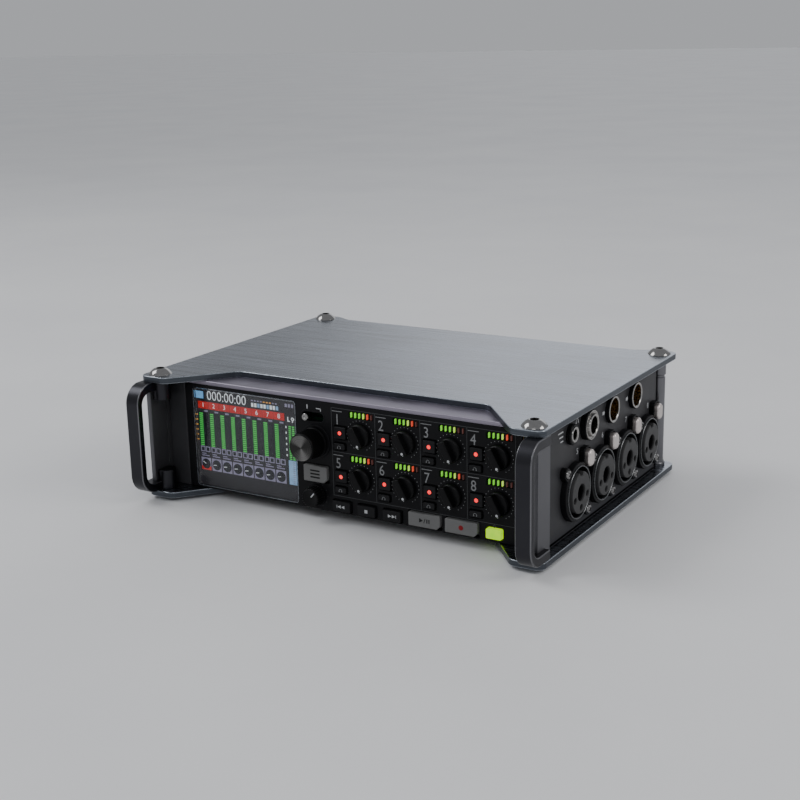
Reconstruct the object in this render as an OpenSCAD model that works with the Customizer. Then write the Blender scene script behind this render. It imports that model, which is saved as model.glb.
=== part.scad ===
// Portable field recorder: a flat metal case between two overhanging plates, with grab
// handles at the front corners, eight channel strips, a colour display, transport keys and
// four locking combination sockets on each side.
// Frame: origin on the ground under the middle of the case, X to the right along the front
// panel, Y from the front to the back, Z up. Sizes in millimetres.

/* [Overall size] */
// Width over the two front handles
body_width = 178.2; // [172:0.1:186]
// Depth from the handle fronts to the back edge of the plates
body_depth = 140; // [134:0.1:148]
// Height from the feet to the tops of the corner screws
body_height = 54.3; // [53:0.1:58]

/* [Plates and feet] */
// Thickness of the top and bottom plates
plate_thick = 2.5; // [2:0.1:3]
// Height of the rubber feet
foot_height = 1.4; // [1:0.1:2]
// Radius of the rubber feet
foot_radius = 6; // [4:0.5:8]
// Height of the button heads above the top plate
screw_head_height = 2.4; // [2:0.1:2.8]
// Radius of the button heads
screw_head_radius = 4.75; // [4:0.05:5]

/* [Case] */
// How far the case sides stand in from the plate edges
case_inset = 4.6; // [4:0.1:5.5]
// Sheet thickness of the case
sheet = 1.2; // [1:0.1:1.5]
// Thickness of the front panel
panel_thick = 2.5; // [2:0.1:3]

/* [Channel strips] */
// Distance between neighbouring channel strips
strip_pitch = 19.44; // [19:0.02:19.6]
// Distance between the upper and the lower row of strips
row_pitch = 17.4; // [17:0.1:17.8]
// Radius of a channel knob
knob_radius = 4.7; // [4.2:0.1:5]
// How far a channel knob stands out of the panel
knob_height = 4.8; // [3.5:0.1:6]
// Clearance around each key in its opening
key_gap = 0.35; // [0.3:0.05:0.5]
// How far the keys stand out of the panel
key_height = 1.2; // [0.8:0.1:1.6]

/* [Side sockets] */
// Distance between neighbouring combination sockets
socket_pitch = 23.4; // [23:0.1:24]
// Radius of the round flange of a combination socket
socket_radius = 11.2; // [10.8:0.1:11.4]
// How far the socket flange stands out of the case side
socket_proud = 2.5; // [2:0.1:3]

/* [Hidden] */
$fn = 48;
hx = body_width / 2;
hy = body_depth / 2;
zb0 = foot_height;
zb1 = foot_height + plate_thick;
zt1 = body_height - screw_head_height;
zt0 = zt1 - plate_thick;
cx = hx - case_inset;
cyf = -hy + 20.9;
cyb = hy - 12.5;
zc = zt0 - sheet;
screw_x = hx - 6;
screw_yf = -hy + 15;
screw_yb = hy - 6;
slot_r = 4.5;
handle_r = 8.6;
handle_deep = 15.8;
handle_wide = 6.2;
cheek_y = -hy + 10;
combo_y0 = -25.4;
combo_z = 19.4;
socket_z = 42;
knob_x0 = 8;
knob_z = 36.4;
led_x0 = -0.7;
track_z = 36.5;
pfl_x0 = -1.2;
pfl_z = 31;
lamp_x0 = 8.4;
lamp_z = 44;
ctl_x = -12.5;
enc_z = 31.4;
menu_z = 18.6;
phones_z = 9.9;
slate_z = 41.2;
board_y = cyf + 7.6;
tray_hx = 31.2;
tray_z0 = 8.8;
tray_z1 = 40.8;
door_y0 = -33;
door_y1 = 7;
door_z0 = 36.8;
door_z1 = 46.6;
hinge_x = -cx + 0.5;
hinge_z = 37.7;
pin_r = 0.5;
lever_x = -15.8;
// each key: middle x, middle z, width, height
key_rew = [-0.9, 7, 8, 4.2];
key_stop = [10.4, 7, 7.8, 4.2];
key_fwd = [21.7, 7, 7.8, 4.2];
key_play = [35.8, 7.6, 13.6, 5.4];
key_rec = [51.4, 7.6, 13.6, 5.4];
key_power = [64.6, 7.3, 6.2, 3.8];
key_menu = [ctl_x, menu_z, 10.8, 6.6];

// ---- shared shapes -------------------------------------------------------------------

// rounded rectangle in the sketch plane, with true arcs
module rr(x0, y0, x1, y1, r) {
  translate([x0 + r, y0]) square([x1 - x0 - 2 * r, y1 - y0]);
  translate([x0, y0 + r]) square([x1 - x0, y1 - y0 - 2 * r]);
  for (x = [x0 + r, x1 - r], y = [y0 + r, y1 - r]) translate([x, y]) circle(r);
}

// sketch in X and Z, pulled from y0 back to y1
module along_y(y0, y1) {
  translate([0, y1, 0]) rotate([90, 0, 0]) linear_extrude(y1 - y0) children();
}

// sketch in Y and Z, pulled from x0 to x1
module along_x(x0, x1) {
  translate([x0, 0, 0]) rotate([90, 0, 90]) linear_extrude(x1 - x0) children();
}

module rod_y(x, z, y0, y1, r) {
  translate([x, y1, z]) rotate([90, 0, 0]) cylinder(h = y1 - y0, r = r);
}

module rod_x(y, z, x0, x1, r) {
  translate([x0, y, z]) rotate([0, 90, 0]) cylinder(h = x1 - x0, r = r);
}

module box(x0, y0, z0, x1, y1, z1) {
  translate([x0, y0, z0]) cube([x1 - x0, y1 - y0, z1 - z0]);
}

module both_sides() {
  children();
  mirror([1, 0, 0]) children();
}

// places a part drawn for the right side at every combination socket, on both sides
module at_combos() {
  for (i = [0:3]) {
    translate([cx, combo_y0 + socket_pitch * i, combo_z]) children();
    translate([-cx, combo_y0 + socket_pitch * i, combo_z]) rotate([0, 0, 180]) children();
  }
}

function strip_x(n) = strip_pitch * ((n - 1) % 4);
function strip_z(n) = n > 4 ? -row_pitch : 0;

// ---- plates, handles and posts -------------------------------------------------------

// half outline of both plates: front ear, slanted step, recessed front edge
module plate_half() {
  polygon([
    [-1, -hy + 32.3], [54.4, -hy + 32.3], [56.4, -hy + 31.9], [58.2, -hy + 30.6],
    [74.6, -hy + 11.4], [76.2, -hy + 9.8], [78.4, -hy + 9], [hx - 3.6, -hy + 9],
    [hx - 1.1, -hy + 10.1], [hx, -hy + 12.6], [hx, hy - 3.4], [hx - 1, hy - 1],
    [hx - 3.4, hy], [79, hy], [77, hy - 0.5], [72.6, hy - 3.2], [70.6, hy - 3.7],
    [-1, hy - 3.7]]);
}

module plate_outline() {
  plate_half();
  mirror([1, 0]) plate_half();
}

module at_corners() {
  for (x = [-screw_x, screw_x], y = [screw_yf, screw_yb]) translate([x, y, 0]) children();
}

module top_plate() {
  color([0.42, 0.47, 0.53]) difference() {
    translate([0, 0, zt0]) linear_extrude(plate_thick) plate_outline();
    at_corners() translate([0, 0, zt0 - 1]) cylinder(h = plate_thick + 2, r = 1.7);
  }
}

module bottom_plate() {
  color([0.36, 0.4, 0.46]) difference() {
    translate([0, 0, zb0]) linear_extrude(plate_thick) plate_outline();
    at_corners() {
      translate([0, 0, zb0 - 1]) cylinder(h = plate_thick + 2, r = 1.7);
      translate([0, 0, zb0]) cylinder(h = 1.7, r1 = 3.2, r2 = 1.7);
    }
    // four tapped holes for a tripod or hanger bracket
    for (x = [-25, 25], y = [-20, 20])
      translate([x, y, zb0 - 1]) cylinder(h = plate_thick + 2, r = 1.65);
  }
}

// grab handle: a C-shaped bar on two screw bosses, closed by a side cheek behind the
// finger slot, drawn for the right side
module handle() {
  difference() {
    union() {
      along_x(hx - handle_wide, hx) difference() {
        union() {
          translate([-hy + handle_r, zb1]) square([handle_deep - handle_r, zt0 - zb1]);
          translate([-hy, zb1 + handle_r]) square([handle_r, zt0 - zb1 - 2 * handle_r]);
          for (z = [zb1 + handle_r, zt0 - handle_r])
            translate([-hy + handle_r, z]) circle(handle_r);
        }
        rr(-hy + 2.8, zb1 + 3.6, -hy + handle_deep + slot_r + 1, zt0 - 3.9, slot_r);
      }
      box(hx - 4.1, cheek_y, zb1, hx - 2.1, cyf - 1.1, zt0);
      for (z = [zb1, zt0 - 8]) translate([screw_x, screw_yf, z]) cylinder(h = 8, r = 3.8);
    }
    for (z = [zb1 - 1, zt0 - 7.2]) translate([screw_x, screw_yf, z])
      cylinder(h = 8.2, r = 1.55);
  }
}

module handle_right() { color([0.2, 0.21, 0.26]) handle(); }

module handle_left() { color([0.2, 0.21, 0.26]) mirror([1, 0, 0]) handle(); }

module rear_posts() {
  color([0.55, 0.57, 0.62]) both_sides() translate([screw_x, screw_yb, 0]) difference() {
    union() {
      translate([0, 0, zb1]) cylinder(h = 1.4, r = 3.5);
      translate([0, 0, zb1 + 1.4]) cylinder(h = 1.2, r1 = 3.5, r2 = 2.8);
      translate([0, 0, zb1 + 2.6]) cylinder(h = zt0 - zb1 - 9.6, r = 2.8);
      translate([0, 0, zt0 - 7.2]) cylinder(h = 1, r = 2.45);
      translate([0, 0, zt0 - 6.3]) cylinder(h = 6.3, r = 3);
    }
    for (z = [zb1 - 1, zt0 - 7.2]) translate([0, 0, z]) cylinder(h = 8.2, r = 1.55);
  }
}

// button-head screws above, countersunk screws below
module corner_screws() {
  dome = screw_head_height + 0.35;
  ball = (screw_head_radius * screw_head_radius + dome * dome) / (2 * dome);
  color([0.8, 0.8, 0.82]) at_corners() {
    difference() {
      union() {
        intersection() {
          translate([0, 0, zt1 + dome - ball]) sphere(ball);
          translate([0, 0, zt1]) cylinder(h = screw_head_height, r = screw_head_radius);
        }
        translate([0, 0, zt0 - 5]) cylinder(h = plate_thick + 5.2, r = 1.5);
      }
      translate([0, 0, zt1 + 0.8]) cylinder(h = 4, r = 1.75, $fn = 6);
    }
    difference() {
      union() {
        translate([0, 0, zb0 + 0.1]) cylinder(h = 1.5, r1 = 3, r2 = 1.5);
        translate([0, 0, zb0 + 1]) cylinder(h = 7, r = 1.5);
      }
      translate([0, 0, zb0 - 0.1]) cylinder(h = 1.1, r = 1, $fn = 6);
    }
  }
}

module rubber_feet() {
  color([0.08, 0.08, 0.09]) for (x = [-66, 66], y = [-34, 48]) translate([x, y, 0]) {
    cylinder(h = 0.4, r1 = foot_radius - 0.5, r2 = foot_radius);
    translate([0, 0, 0.4]) cylinder(h = foot_height - 0.4, r = foot_radius);
  }
}

// ---- case ----------------------------------------------------------------------------

// everything cut out of the right-hand case side
module side_cuts() {
  along_x(cx - 4, cx + 1) {
    for (i = [0:3]) translate([combo_y0 + socket_pitch * i, combo_z]) {
      circle(10.6);
      translate([8.4, 11]) square([3.4, 3.4], center = true);
    }
    translate([-28.3, socket_z]) circle(3.5);
    translate([-13.9, socket_z]) circle(5.5);
    translate([9.2, socket_z]) circle(4.9);
    translate([32.5, socket_z]) circle(4.9);
  }
}

// card door opening and socket holes in the left-hand case side
module left_cuts() {
  along_x(-cx - 1, -cx + 4) {
    for (i = [0:3]) translate([combo_y0 + socket_pitch * i, combo_z]) {
      circle(10.6);
      translate([-8.4, 11]) square([3.4, 3.4], center = true);
    }
    rr(door_y0 - 0.4, door_z0 - 0.5, door_y1 + 0.4, door_z1 + 0.4, 0.6);
  }
}

module chassis_tray() {
  color([0.17, 0.17, 0.2]) difference() {
    union() {
      box(-cx, cyf + panel_thick, zb1, cx, cyb, zb1 + sheet);
      for (s = [-1, 1]) {
        translate([s * (cx - sheet / 2), 0, 0])
          box(-sheet / 2, cyf + 0.5, zb1, sheet / 2, cyb, zc);
        translate([s * (75.85 + (cx - 75.85) / 2), 0, 0])
          box(-(cx - 75.85) / 2, cyf, zb1, (cx - 75.85) / 2, cyf + sheet, zc - 0.5);
      }
      // tapped bushes for the bracket screws
      for (x = [-25, 25], y = [-20, 20]) translate([x, y, zb1]) cylinder(h = 3.4, r = 3.2);
      // bearing ears for the card door pins
      for (y = [door_y0 - 2.4, door_y1 + 0.6])
        box(-cx, y, hinge_z - 1.4, -cx + 2.4, y + 1.8, hinge_z + 1.4);
    }
    side_cuts();
    left_cuts();
    for (x = [-25, 25], y = [-20, 20])
      translate([x, y, zb1 - 1]) cylinder(h = 5, r = 1.65);
    translate([hinge_x, 0, 0]) rotate([90, 0, 0])
      translate([0, hinge_z, -door_y1 - 1.9]) cylinder(h = door_y1 - door_y0 + 3.8, r = 0.58);
    // relief under the guide flanges of the lower keys
    box(-6.2, cyf + panel_thick - 0.1, zb1 - 1, 69, cyf + panel_thick + 2.6, zb1 + sheet + 0.1);
  }
}

module case_cover() {
  color([0.33, 0.32, 0.38]) {
    box(-cx, cyf, zc, cx, cyb, zt0);
    // short lip folded down over the front panel
    box(-cx, cyf, zc - 0.4, cx, cyf + 0.45, zc);
  }
}

module rear_cut(x, z, w, h, r) {
  along_y(cyb - 3, cyb + 1) translate([x, z]) rr(-w / 2, -h / 2, w / 2, h / 2, r);
}

// rear panel with the battery bay sleeve behind it
module rear_panel() {
  color([0.15, 0.15, 0.17]) difference() {
    union() {
      box(-cx + sheet, cyb - sheet, zb1 + sheet, cx - sheet, cyb, zc);
      difference() {
        box(-tray_hx - 1.4, -1, tray_z0 - 1.4, tray_hx + 1.4, cyb - sheet, tray_z1 + 1.4);
        box(-tray_hx - 0.4, -0.2, tray_z0 - 0.4, tray_hx + 0.4, cyb + 1, tray_z1 + 0.4);
      }
    }
    rear_cut(0, (tray_z0 + tray_z1) / 2, 2 * tray_hx + 0.8, tray_z1 - tray_z0 + 0.8, 0.8);
    for (x = [-57, -43]) rod_y(x, 34, cyb - 3, cyb + 1, 4.3);
    rod_y(43, 34, cyb - 3, cyb + 1, 4.8);
    rear_cut(-50, 15, 9.6, 3.9, 1.35);
    rear_cut(49, 15, 22.2, 8.2, 1);
    // tall slots letting warm air out
    for (i = [0:4]) rear_cut(57 + 3.6 * i, 34, 1.6, 14, 0.5);
  }
}

// ---- front panel ---------------------------------------------------------------------

module key_hole(k) {
  along_y(cyf - 1, cyf + panel_thick + 1) translate([k[0], k[1]])
    rr(-k[2] / 2 - key_gap, -k[3] / 2 - key_gap, k[2] / 2 + key_gap, k[3] / 2 + key_gap, 0.6);
}

module strip_holes() {
  for (n = [1:8]) translate([strip_x(n), 0, strip_z(n)]) {
    rod_y(knob_x0, knob_z, cyf - 1, cyf + panel_thick + 1, 2);
    along_y(cyf - 1, cyf + panel_thick + 1) {
      translate([led_x0, track_z]) rr(-2.6 - key_gap, -2.3 - key_gap,
        2.6 + key_gap, 2.3 + key_gap, 0.5);
      translate([pfl_x0, pfl_z]) rr(-2.5 - key_gap, -1.2 - key_gap,
        2.5 + key_gap, 1.2 + key_gap, 0.5);
    }
    along_y(cyf - 1, cyf + panel_thick + 1) translate([lamp_x0, lamp_z])
      rr(-5.3, -1.2, 5.3, 1.2, 0.4);
  }
}

module front_panel() {
  color([0.09, 0.09, 0.1]) difference() {
    union() {
      along_y(cyf, cyf + panel_thick) rr(-75.7, zb1 + 0.1, 75.7, zc - 0.5, 2.4);
      // fine raised lines round the strips
      for (i = [0:4]) translate([strip_pitch * i - 4.7, 0, 0])
        box(-0.12, cyf - 0.12, 11, 0.12, cyf + 0.1, 46);
      for (z = [11, 28.7, 46])
        box(-4.8, cyf - 0.12, z - 0.12, strip_pitch * 4 - 4.6, cyf + 0.1, z + 0.12);
      translate([ctl_x, cyf + 0.01, enc_z]) rotate([90, 0, 0]) cylinder(h = 0.5, r = 6.9);
    }
    along_y(cyf - 1, cyf + 1) rr(-71.5, 5.2, -21.7, 46, 1);
    along_y(cyf, cyf + panel_thick + 1) rr(-70.3, 6.4, -22.9, 44.8, 1);
    strip_holes();
    for (k = [key_rew, key_stop, key_fwd, key_play, key_rec, key_power, key_menu])
      key_hole(k);
    rod_y(ctl_x, enc_z, cyf - 1, cyf + panel_thick + 1, 3.4);
    rod_y(ctl_x, phones_z, cyf - 1, cyf + panel_thick + 1, 2);
    along_y(cyf - 1, cyf + panel_thick + 1) rr(-18.2, slate_z - 1.8, -8.4, slate_z + 1.8, 1.2);
    along_y(cyf - 1, cyf + 0.6) rr(-18.9, slate_z - 2.4, -7.7, slate_z + 2.4, 1.6);
  }
}

// display pane and the light bars over each strip
module clear_windows() {
  color([0.12, 0.14, 0.18]) {
    along_y(cyf, cyf + 1) rr(-71.4, 5.3, -21.8, 45.9, 0.9);
    for (n = [1:8]) translate([strip_x(n), 0, strip_z(n)]) {
      along_y(cyf - 0.1, cyf + panel_thick + 0.6) translate([lamp_x0, lamp_z]) difference() {
        rr(-5.2, -1.1, 5.2, 1.1, 0.3);
        for (i = [0:4]) translate([-3.6 + 1.8 * i, 0]) square([0.5, 1.6], center = true);
      }
    }
  }
}

module display_module() {
  y0 = cyf + 1.1;
  color([0.25, 0.27, 0.3]) {
    along_y(y0, y0 + 3.6) rr(-70.2, 6.5, -23, 44.7, 0.8);
    along_y(y0 + 3.6, y0 + 4.2) difference() {
      rr(-69, 8, -24, 43, 0.6);
      rr(-66, 11, -27, 40, 0.6);
    }
    // flat cable tail
    box(-52, y0 + 3.6, 8.6, -38, y0 + 6.4, 8.9);
  }
}

// ---- electronics ---------------------------------------------------------------------

module pot_body(x, z, w, r) {
  difference() {
    box(x - w / 2, board_y - 4, z - w / 2, x + w / 2, board_y, z + w / 2);
    rod_y(x, z, board_y - 5, board_y - 0.6, r);
  }
}

module tact_switch(x, z) {
  box(x - 1.8, board_y - 1.2, z - 1.1, x + 1.8, board_y, z + 1.1);
}

module circuit_boards() {
  color([0.08, 0.28, 0.16]) {
    // control board behind the front panel
    box(-73, board_y, 6, 73, board_y + 1.6, 46.5);
    for (n = [1:8]) translate([strip_x(n), 0, strip_z(n)]) {
      pot_body(knob_x0, knob_z, 8.4, 2);
      tact_switch(led_x0, track_z);
      tact_switch(pfl_x0, pfl_z);
      box(lamp_x0 - 4.8, board_y - 1.2, lamp_z - 0.9, lamp_x0 + 4.8, board_y, lamp_z + 0.9);
    }
    pot_body(ctl_x, enc_z, 11, 3.4);
    pot_body(ctl_x, phones_z, 8, 2);
    for (k = [key_rew, key_stop, key_fwd, key_play, key_rec, key_power, key_menu])
      tact_switch(k[0], k[1]);
    difference() {
      box(-19, board_y - 3, slate_z - 2.6, -7.6, board_y, slate_z + 2.6);
      box(-17.8, board_y - 4, slate_z - 1.4, -8.8, board_y - 0.8, slate_z + 1.4);
    }
    // main board under the cover, on four spacers
    box(-60, board_y + 6, 43.2, 60, 52, 44.8);
    for (x = [-55, 55], y = [-30, 46]) translate([x, y, 44.8]) cylinder(h = zc - 44.8, r = 2.4);
    for (i = [0:2]) box(-42 + 30 * i, -22, 44.8, -26 + 30 * i, -6, 46.4);
    for (i = [0:4]) box(-44 + 20 * i, 8, 44.8, -34 + 20 * i, 22, 46);
    for (i = [0:5]) translate([-45 + 18 * i, 36, 44.8]) cylinder(h = 2.6, r = 3.2);
    box(-30, board_y + 1.6, 38, 30, board_y + 3.4, 43);
    // preamplifier boards behind the side sockets
    for (s = [-1, 1]) translate([s * 63.2, 0, 0]) {
      box(-0.8, -38, 6.5, 0.8, 55, 35.5);
      for (i = [0:3]) translate([-s * 1.8, combo_y0 + socket_pitch * i, 0])
        box(-1, -5, 14, 1, 5, 24);
    }
    // twin card reader behind the side door
    difference() {
      box(-82.2, -28, 37.6, -61, 2, 46.6);
      for (z = [40, 44.2]) box(-83, -25.3, z - 1.3, -62, -0.7, z + 1.3);
    }
  }
}

// ---- sockets -------------------------------------------------------------------------

// one locking combination socket, face towards +X, origin at the case side
module combo_socket() {
  difference() {
    union() {
      rod_x(0, 0, -20, 0.1, 10.4);
      along_x(0, socket_proud) {
        circle(socket_radius);
        translate([-9.3, 9.4]) circle(2.3);
        translate([9.3, -9.4]) circle(2.3);
        rotate(135) translate([0, -2.3]) square([13.2, 4.6]);
        rotate(-45) translate([0, -2.3]) square([13.2, 4.6]);
        translate([8.4, 11]) rr(-3, -4, 3, 4, 1.4);
      }
      // contact insert and the raised rim round it
      rod_x(0, 0, 0, socket_proud + 1.1, 8);
      along_x(socket_proud, socket_proud + 0.4) difference() {
        circle(10);
        circle(9.5);
      }
    }
    // shell groove round the contact insert
    along_x(-10, 4) difference() {
      circle(9.3);
      circle(7.9);
    }
    // centre hole for a 6.35 mm plug, contact holes and key slot
    rod_x(0, 0, -16, 4, 3.25);
    for (a = [18, 90, 162]) rod_x(5.7 * cos(a - 180), 5.7 * sin(a - 180), -8, 4, 1.2);
    along_x(-6, 4) translate([0, 7.4]) square([2.2, 2], center = true);
    // pocket for the latch tab
    along_x(0.05, 4) translate([8.4, 11]) rr(-2.55, -3.45, 2.55, 3.45, 1);
    along_x(-1, 1) translate([8.4, 11]) square([3.4, 3.4], center = true);
  }
  // two fixing screws
  for (s = [-1, 1]) difference() {
    rod_x(s * -9.3, s * 9.4, socket_proud, socket_proud + 0.7, 1.6);
    along_x(socket_proud + 0.3, socket_proud + 1) translate([s * -9.3, s * 9.4]) {
      square([2, 0.5], center = true);
      square([0.5, 2], center = true);
    }
  }
}

module combo_sockets() {
  color([0.1, 0.1, 0.11]) at_combos() combo_socket();
}

// 3-pin miniature output socket, face towards +X
module mini_socket(y) {
  difference() {
    union() {
      rod_x(y, socket_z, cx - 14, cx + 0.1, 4.8);
      rod_x(y, socket_z, cx, cx + 1.7, 5.4);
    }
    rod_x(y, socket_z, cx - 8, cx + 2, 4.3);
    along_x(cx - 4, cx + 2) translate([y, socket_z + 4.2]) square([1.4, 0.8], center = true);
  }
  for (a = [90, 210, 330]) rod_x(y + 2.1 * cos(a), socket_z + 2.1 * sin(a), cx - 9, cx - 3, 0.6);
}

// round twist-lock socket on the rear panel
module bayonet_socket(x) {
  difference() {
    union() {
      rod_y(x, 34, cyb - 12, cyb + 0.1, 4.2);
      rod_y(x, 34, cyb, cyb + 1.2, 6);
      rod_y(x, 34, cyb + 1, cyb + 8, 4.8);
      for (s = [-1, 1]) rod_x(cyb + 5.6, 34, x + s * 5.1 - 0.5, x + s * 5.1 + 0.5, 0.9);
    }
    difference() {
      rod_y(x, 34, cyb + 1.6, cyb + 9, 4);
      rod_y(x, 34, cyb + 1, cyb + 6.5, 2.4);
    }
    rod_y(x, 34, cyb + 1, cyb + 9, 0.7);
  }
}

module panel_sockets() {
  color([0.13, 0.13, 0.14]) {
    // 3.5 mm output
    difference() {
      union() {
        rod_x(-28.3, socket_z, cx - 14, cx + 0.1, 3.4);
        rod_x(-28.3, socket_z, cx, cx + 2, 3.9);
      }
      rod_x(-28.3, socket_z, cx - 12.5, cx + 3, 1.8);
    }
    // 6.35 mm headphone output
    difference() {
      union() {
        rod_x(-13.9, socket_z, cx - 21, cx + 0.1, 5.4);
        rod_x(-13.9, socket_z, cx, cx + 2.6, 5.9);
        rod_x(-13.9, socket_z, cx + 2.5, cx + 3.4, 4.3);
      }
      rod_x(-13.9, socket_z, cx - 19, cx + 4, 3.25);
    }
    mini_socket(9.2);
    mini_socket(32.5);
    for (x = [-57, -43]) bayonet_socket(x);
    // 4-pin power inlet
    difference() {
      union() {
        rod_y(43, 34, cyb - 10, cyb + 0.1, 4.7);
        rod_y(43, 34, cyb, cyb + 3, 5.6);
      }
      rod_y(43, 34, cyb - 6, cyb + 4, 4);
    }
    for (a = [45:90:315]) rod_y(43 + 1.9 * cos(a), 34 + 1.9 * sin(a), cyb - 7, cyb - 1.5, 0.5);
    // data socket
    along_y(cyb - 8, cyb + 0.6) difference() {
      translate([-50, 15]) rr(-4.7, -1.85, 4.7, 1.85, 1.3);
      translate([-50, 15]) rr(-4.2, -1.35, 4.2, 1.35, 0.9);
    }
    box(-53.4, cyb - 7.9, 14.7, -46.6, cyb - 1, 15.3);
    box(-54.5, cyb - 8.6, 13.3, -45.5, cyb - 7.9, 16.7);
    // plug-in capsule port
    difference() {
      along_y(cyb - 9, cyb + 0.8) translate([49, 15]) rr(-11, -4, 11, 4, 0.9);
      along_y(cyb - 7, cyb + 2) translate([49, 15]) rr(-9.8, -2.8, 9.8, 2.8, 0.6);
    }
    box(40.2, cyb - 7.2, 14.5, 57.8, cyb - 3.4, 15.5);
  }
}

// ---- knobs and keys ------------------------------------------------------------------

// channel knob: round base and a raised pointer bar from upper left to lower right
module gain_knob(n) {
  translate([knob_x0 + strip_x(n), cyf, knob_z + strip_z(n)]) rotate([90, 0, 0]) {
    translate([0, 0, -6.2]) cylinder(h = 6.7, r = 1.5);
    translate([0, 0, 0.4]) cylinder(h = 1.3, r = knob_radius);
    translate([0, 0, 1.6]) cylinder(h = 0.5, r1 = knob_radius, r2 = knob_radius - 0.5);
    intersection() {
      translate([0, 0, 2]) cylinder(h = knob_height - 2, r1 = knob_radius - 0.3,
        r2 = knob_radius - 0.6);
      rotate(-151) translate([-1.5, -6, 0]) cube([3, 12, knob_height]);
    }
  }
}

// key cap with its guide flange and plunger, origin at its middle on the panel face
module cap_key(w, h, stand, cut) {
  difference() {
    along_y(-stand, panel_thick + 0.5) difference() {
      rr(-w / 2, -h / 2, w / 2, h / 2, 0.5);
      if (cut > 0) translate([w / 2, -h / 2]) rotate(45) square(cut * 1.4142, center = true);
    }
    translate([0, -stand, 0]) children();
  }
  along_y(panel_thick + 0.4, panel_thick + 1) rr(-w / 2 - 0.7, -h / 2 - 0.55,
    w / 2 + 0.7, h / 2 + 0.55, 0.4);
  rod_y(0, 0, panel_thick + 0.9, 7.6 - 1.2 - 1.3, 0.8);
}

module track_key(n) {
  translate([led_x0 + strip_x(n), cyf, track_z + strip_z(n)]) {
    cap_key(5.2, 4.6, 0.9, 0) rod_y(0, 0, -1, 0.6, 0.9);
    rod_y(0, 0, -0.75, 0.6, 0.85);
  }
}

module listen_key(n) {
  translate([pfl_x0 + strip_x(n), cyf, pfl_z + strip_z(n)]) cap_key(5, 2.4, 0.8, 0);
}

module panel_key(k, cut) {
  translate([k[0], cyf, k[1]]) cap_key(k[2], k[3], key_height, cut);
}

module latch_tab() {
  translate([0, 8.4, 11]) {
    along_x(1.5, 4.2) rr(-2.2, -3.1, 2.2, 3.1, 1.2);
    along_x(-1.9, 1.6) square([2.6, 2.6], center = true);
    along_x(-2.6, -1.6) square([4.6, 4.6], center = true);
  }
}

module latch_right(n) {
  color([0.82, 0.82, 0.84])
    translate([cx, combo_y0 + socket_pitch * (n - 1), combo_z]) latch_tab();
}

module latch_left(n) {
  color([0.82, 0.82, 0.84])
    translate([-cx, combo_y0 + socket_pitch * (n - 1), combo_z]) rotate([0, 0, 180]) latch_tab();
}

module encoder_knob() {
  color([0.3, 0.3, 0.32]) translate([ctl_x, cyf, enc_z]) rotate([90, 0, 0]) {
    translate([0, 0, -6.2]) cylinder(h = 7.4, r = 3);
    difference() {
      translate([0, 0, 1]) cylinder(h = 8.6, r1 = 5.9, r2 = 5.5);
      for (i = [0:29]) rotate(12 * i) translate([6.15, 0, 1.8]) cylinder(h = 6.9, r = 0.45);
    }
    translate([0, 0, 9.5]) cylinder(h = 0.5, r1 = 5.5, r2 = 5.1);
  }
}

module phones_knob() {
  color([0.1, 0.1, 0.11]) translate([ctl_x, cyf, phones_z]) rotate([90, 0, 0]) {
    translate([0, 0, -6.2]) cylinder(h = 6.9, r = 1.5);
    difference() {
      union() {
        translate([0, 0, 0.5]) cylinder(h = 4.6, r1 = 4.1, r2 = 3.8);
        translate([0, 0, 5]) cylinder(h = 0.4, r1 = 3.8, r2 = 3.4);
      }
      for (i = [0:19]) rotate(18 * i) translate([4.2, 0, 1.2]) cylinder(h = 5, r = 0.35);
      rotate(-42) translate([-0.3, 0.9, 5]) cube([0.6, 2.2, 1]);
    }
  }
}

module slate_lever() {
  color([0.85, 0.85, 0.87]) translate([lever_x, cyf, slate_z]) rotate([90, 0, 0]) {
    translate([0, 0, -6.4]) cylinder(h = 6.5, r = 0.9);
    cylinder(h = 1, r = 1.3);
    translate([0, 0, 1]) cylinder(h = 0.5, r1 = 1.3, r2 = 1.45);
    translate([0, 0, 1.5]) cylinder(h = 0.5, r = 1.45);
  }
}

// ---- door and battery tray -----------------------------------------------------------

// drop-down door over the card slots, with a hinge pin at each lower corner
module card_door() {
  color([0.16, 0.16, 0.18]) {
    difference() {
      union() {
        along_x(-cx, -cx + sheet) rr(door_y0, door_z0, door_y1, door_z1, 0.8);
        // stiffening rim on the inner face
        along_x(-cx + sheet - 0.1, -cx + sheet + 0.7) difference() {
          rr(door_y0 + 1.2, door_z0 + 2.4, door_y1 - 1.2, door_z1 - 0.8, 0.8);
          rr(door_y0 + 2.4, door_z0 + 3.6, door_y1 - 2.4, door_z1 - 2, 0.6);
        }
      }
      // finger notch at the top edge
      along_x(-cx - 1, -cx + 0.6) translate([(door_y0 + door_y1) / 2, door_z1])
        rr(-5, -1.8, 5, 2, 1);
    }
    translate([hinge_x, 0, hinge_z]) rotate([90, 0, 0])
      translate([0, 0, -door_y1 - 1.7]) cylinder(h = door_y1 - door_y0 + 3.4, r = pin_r);
  }
}

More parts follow.
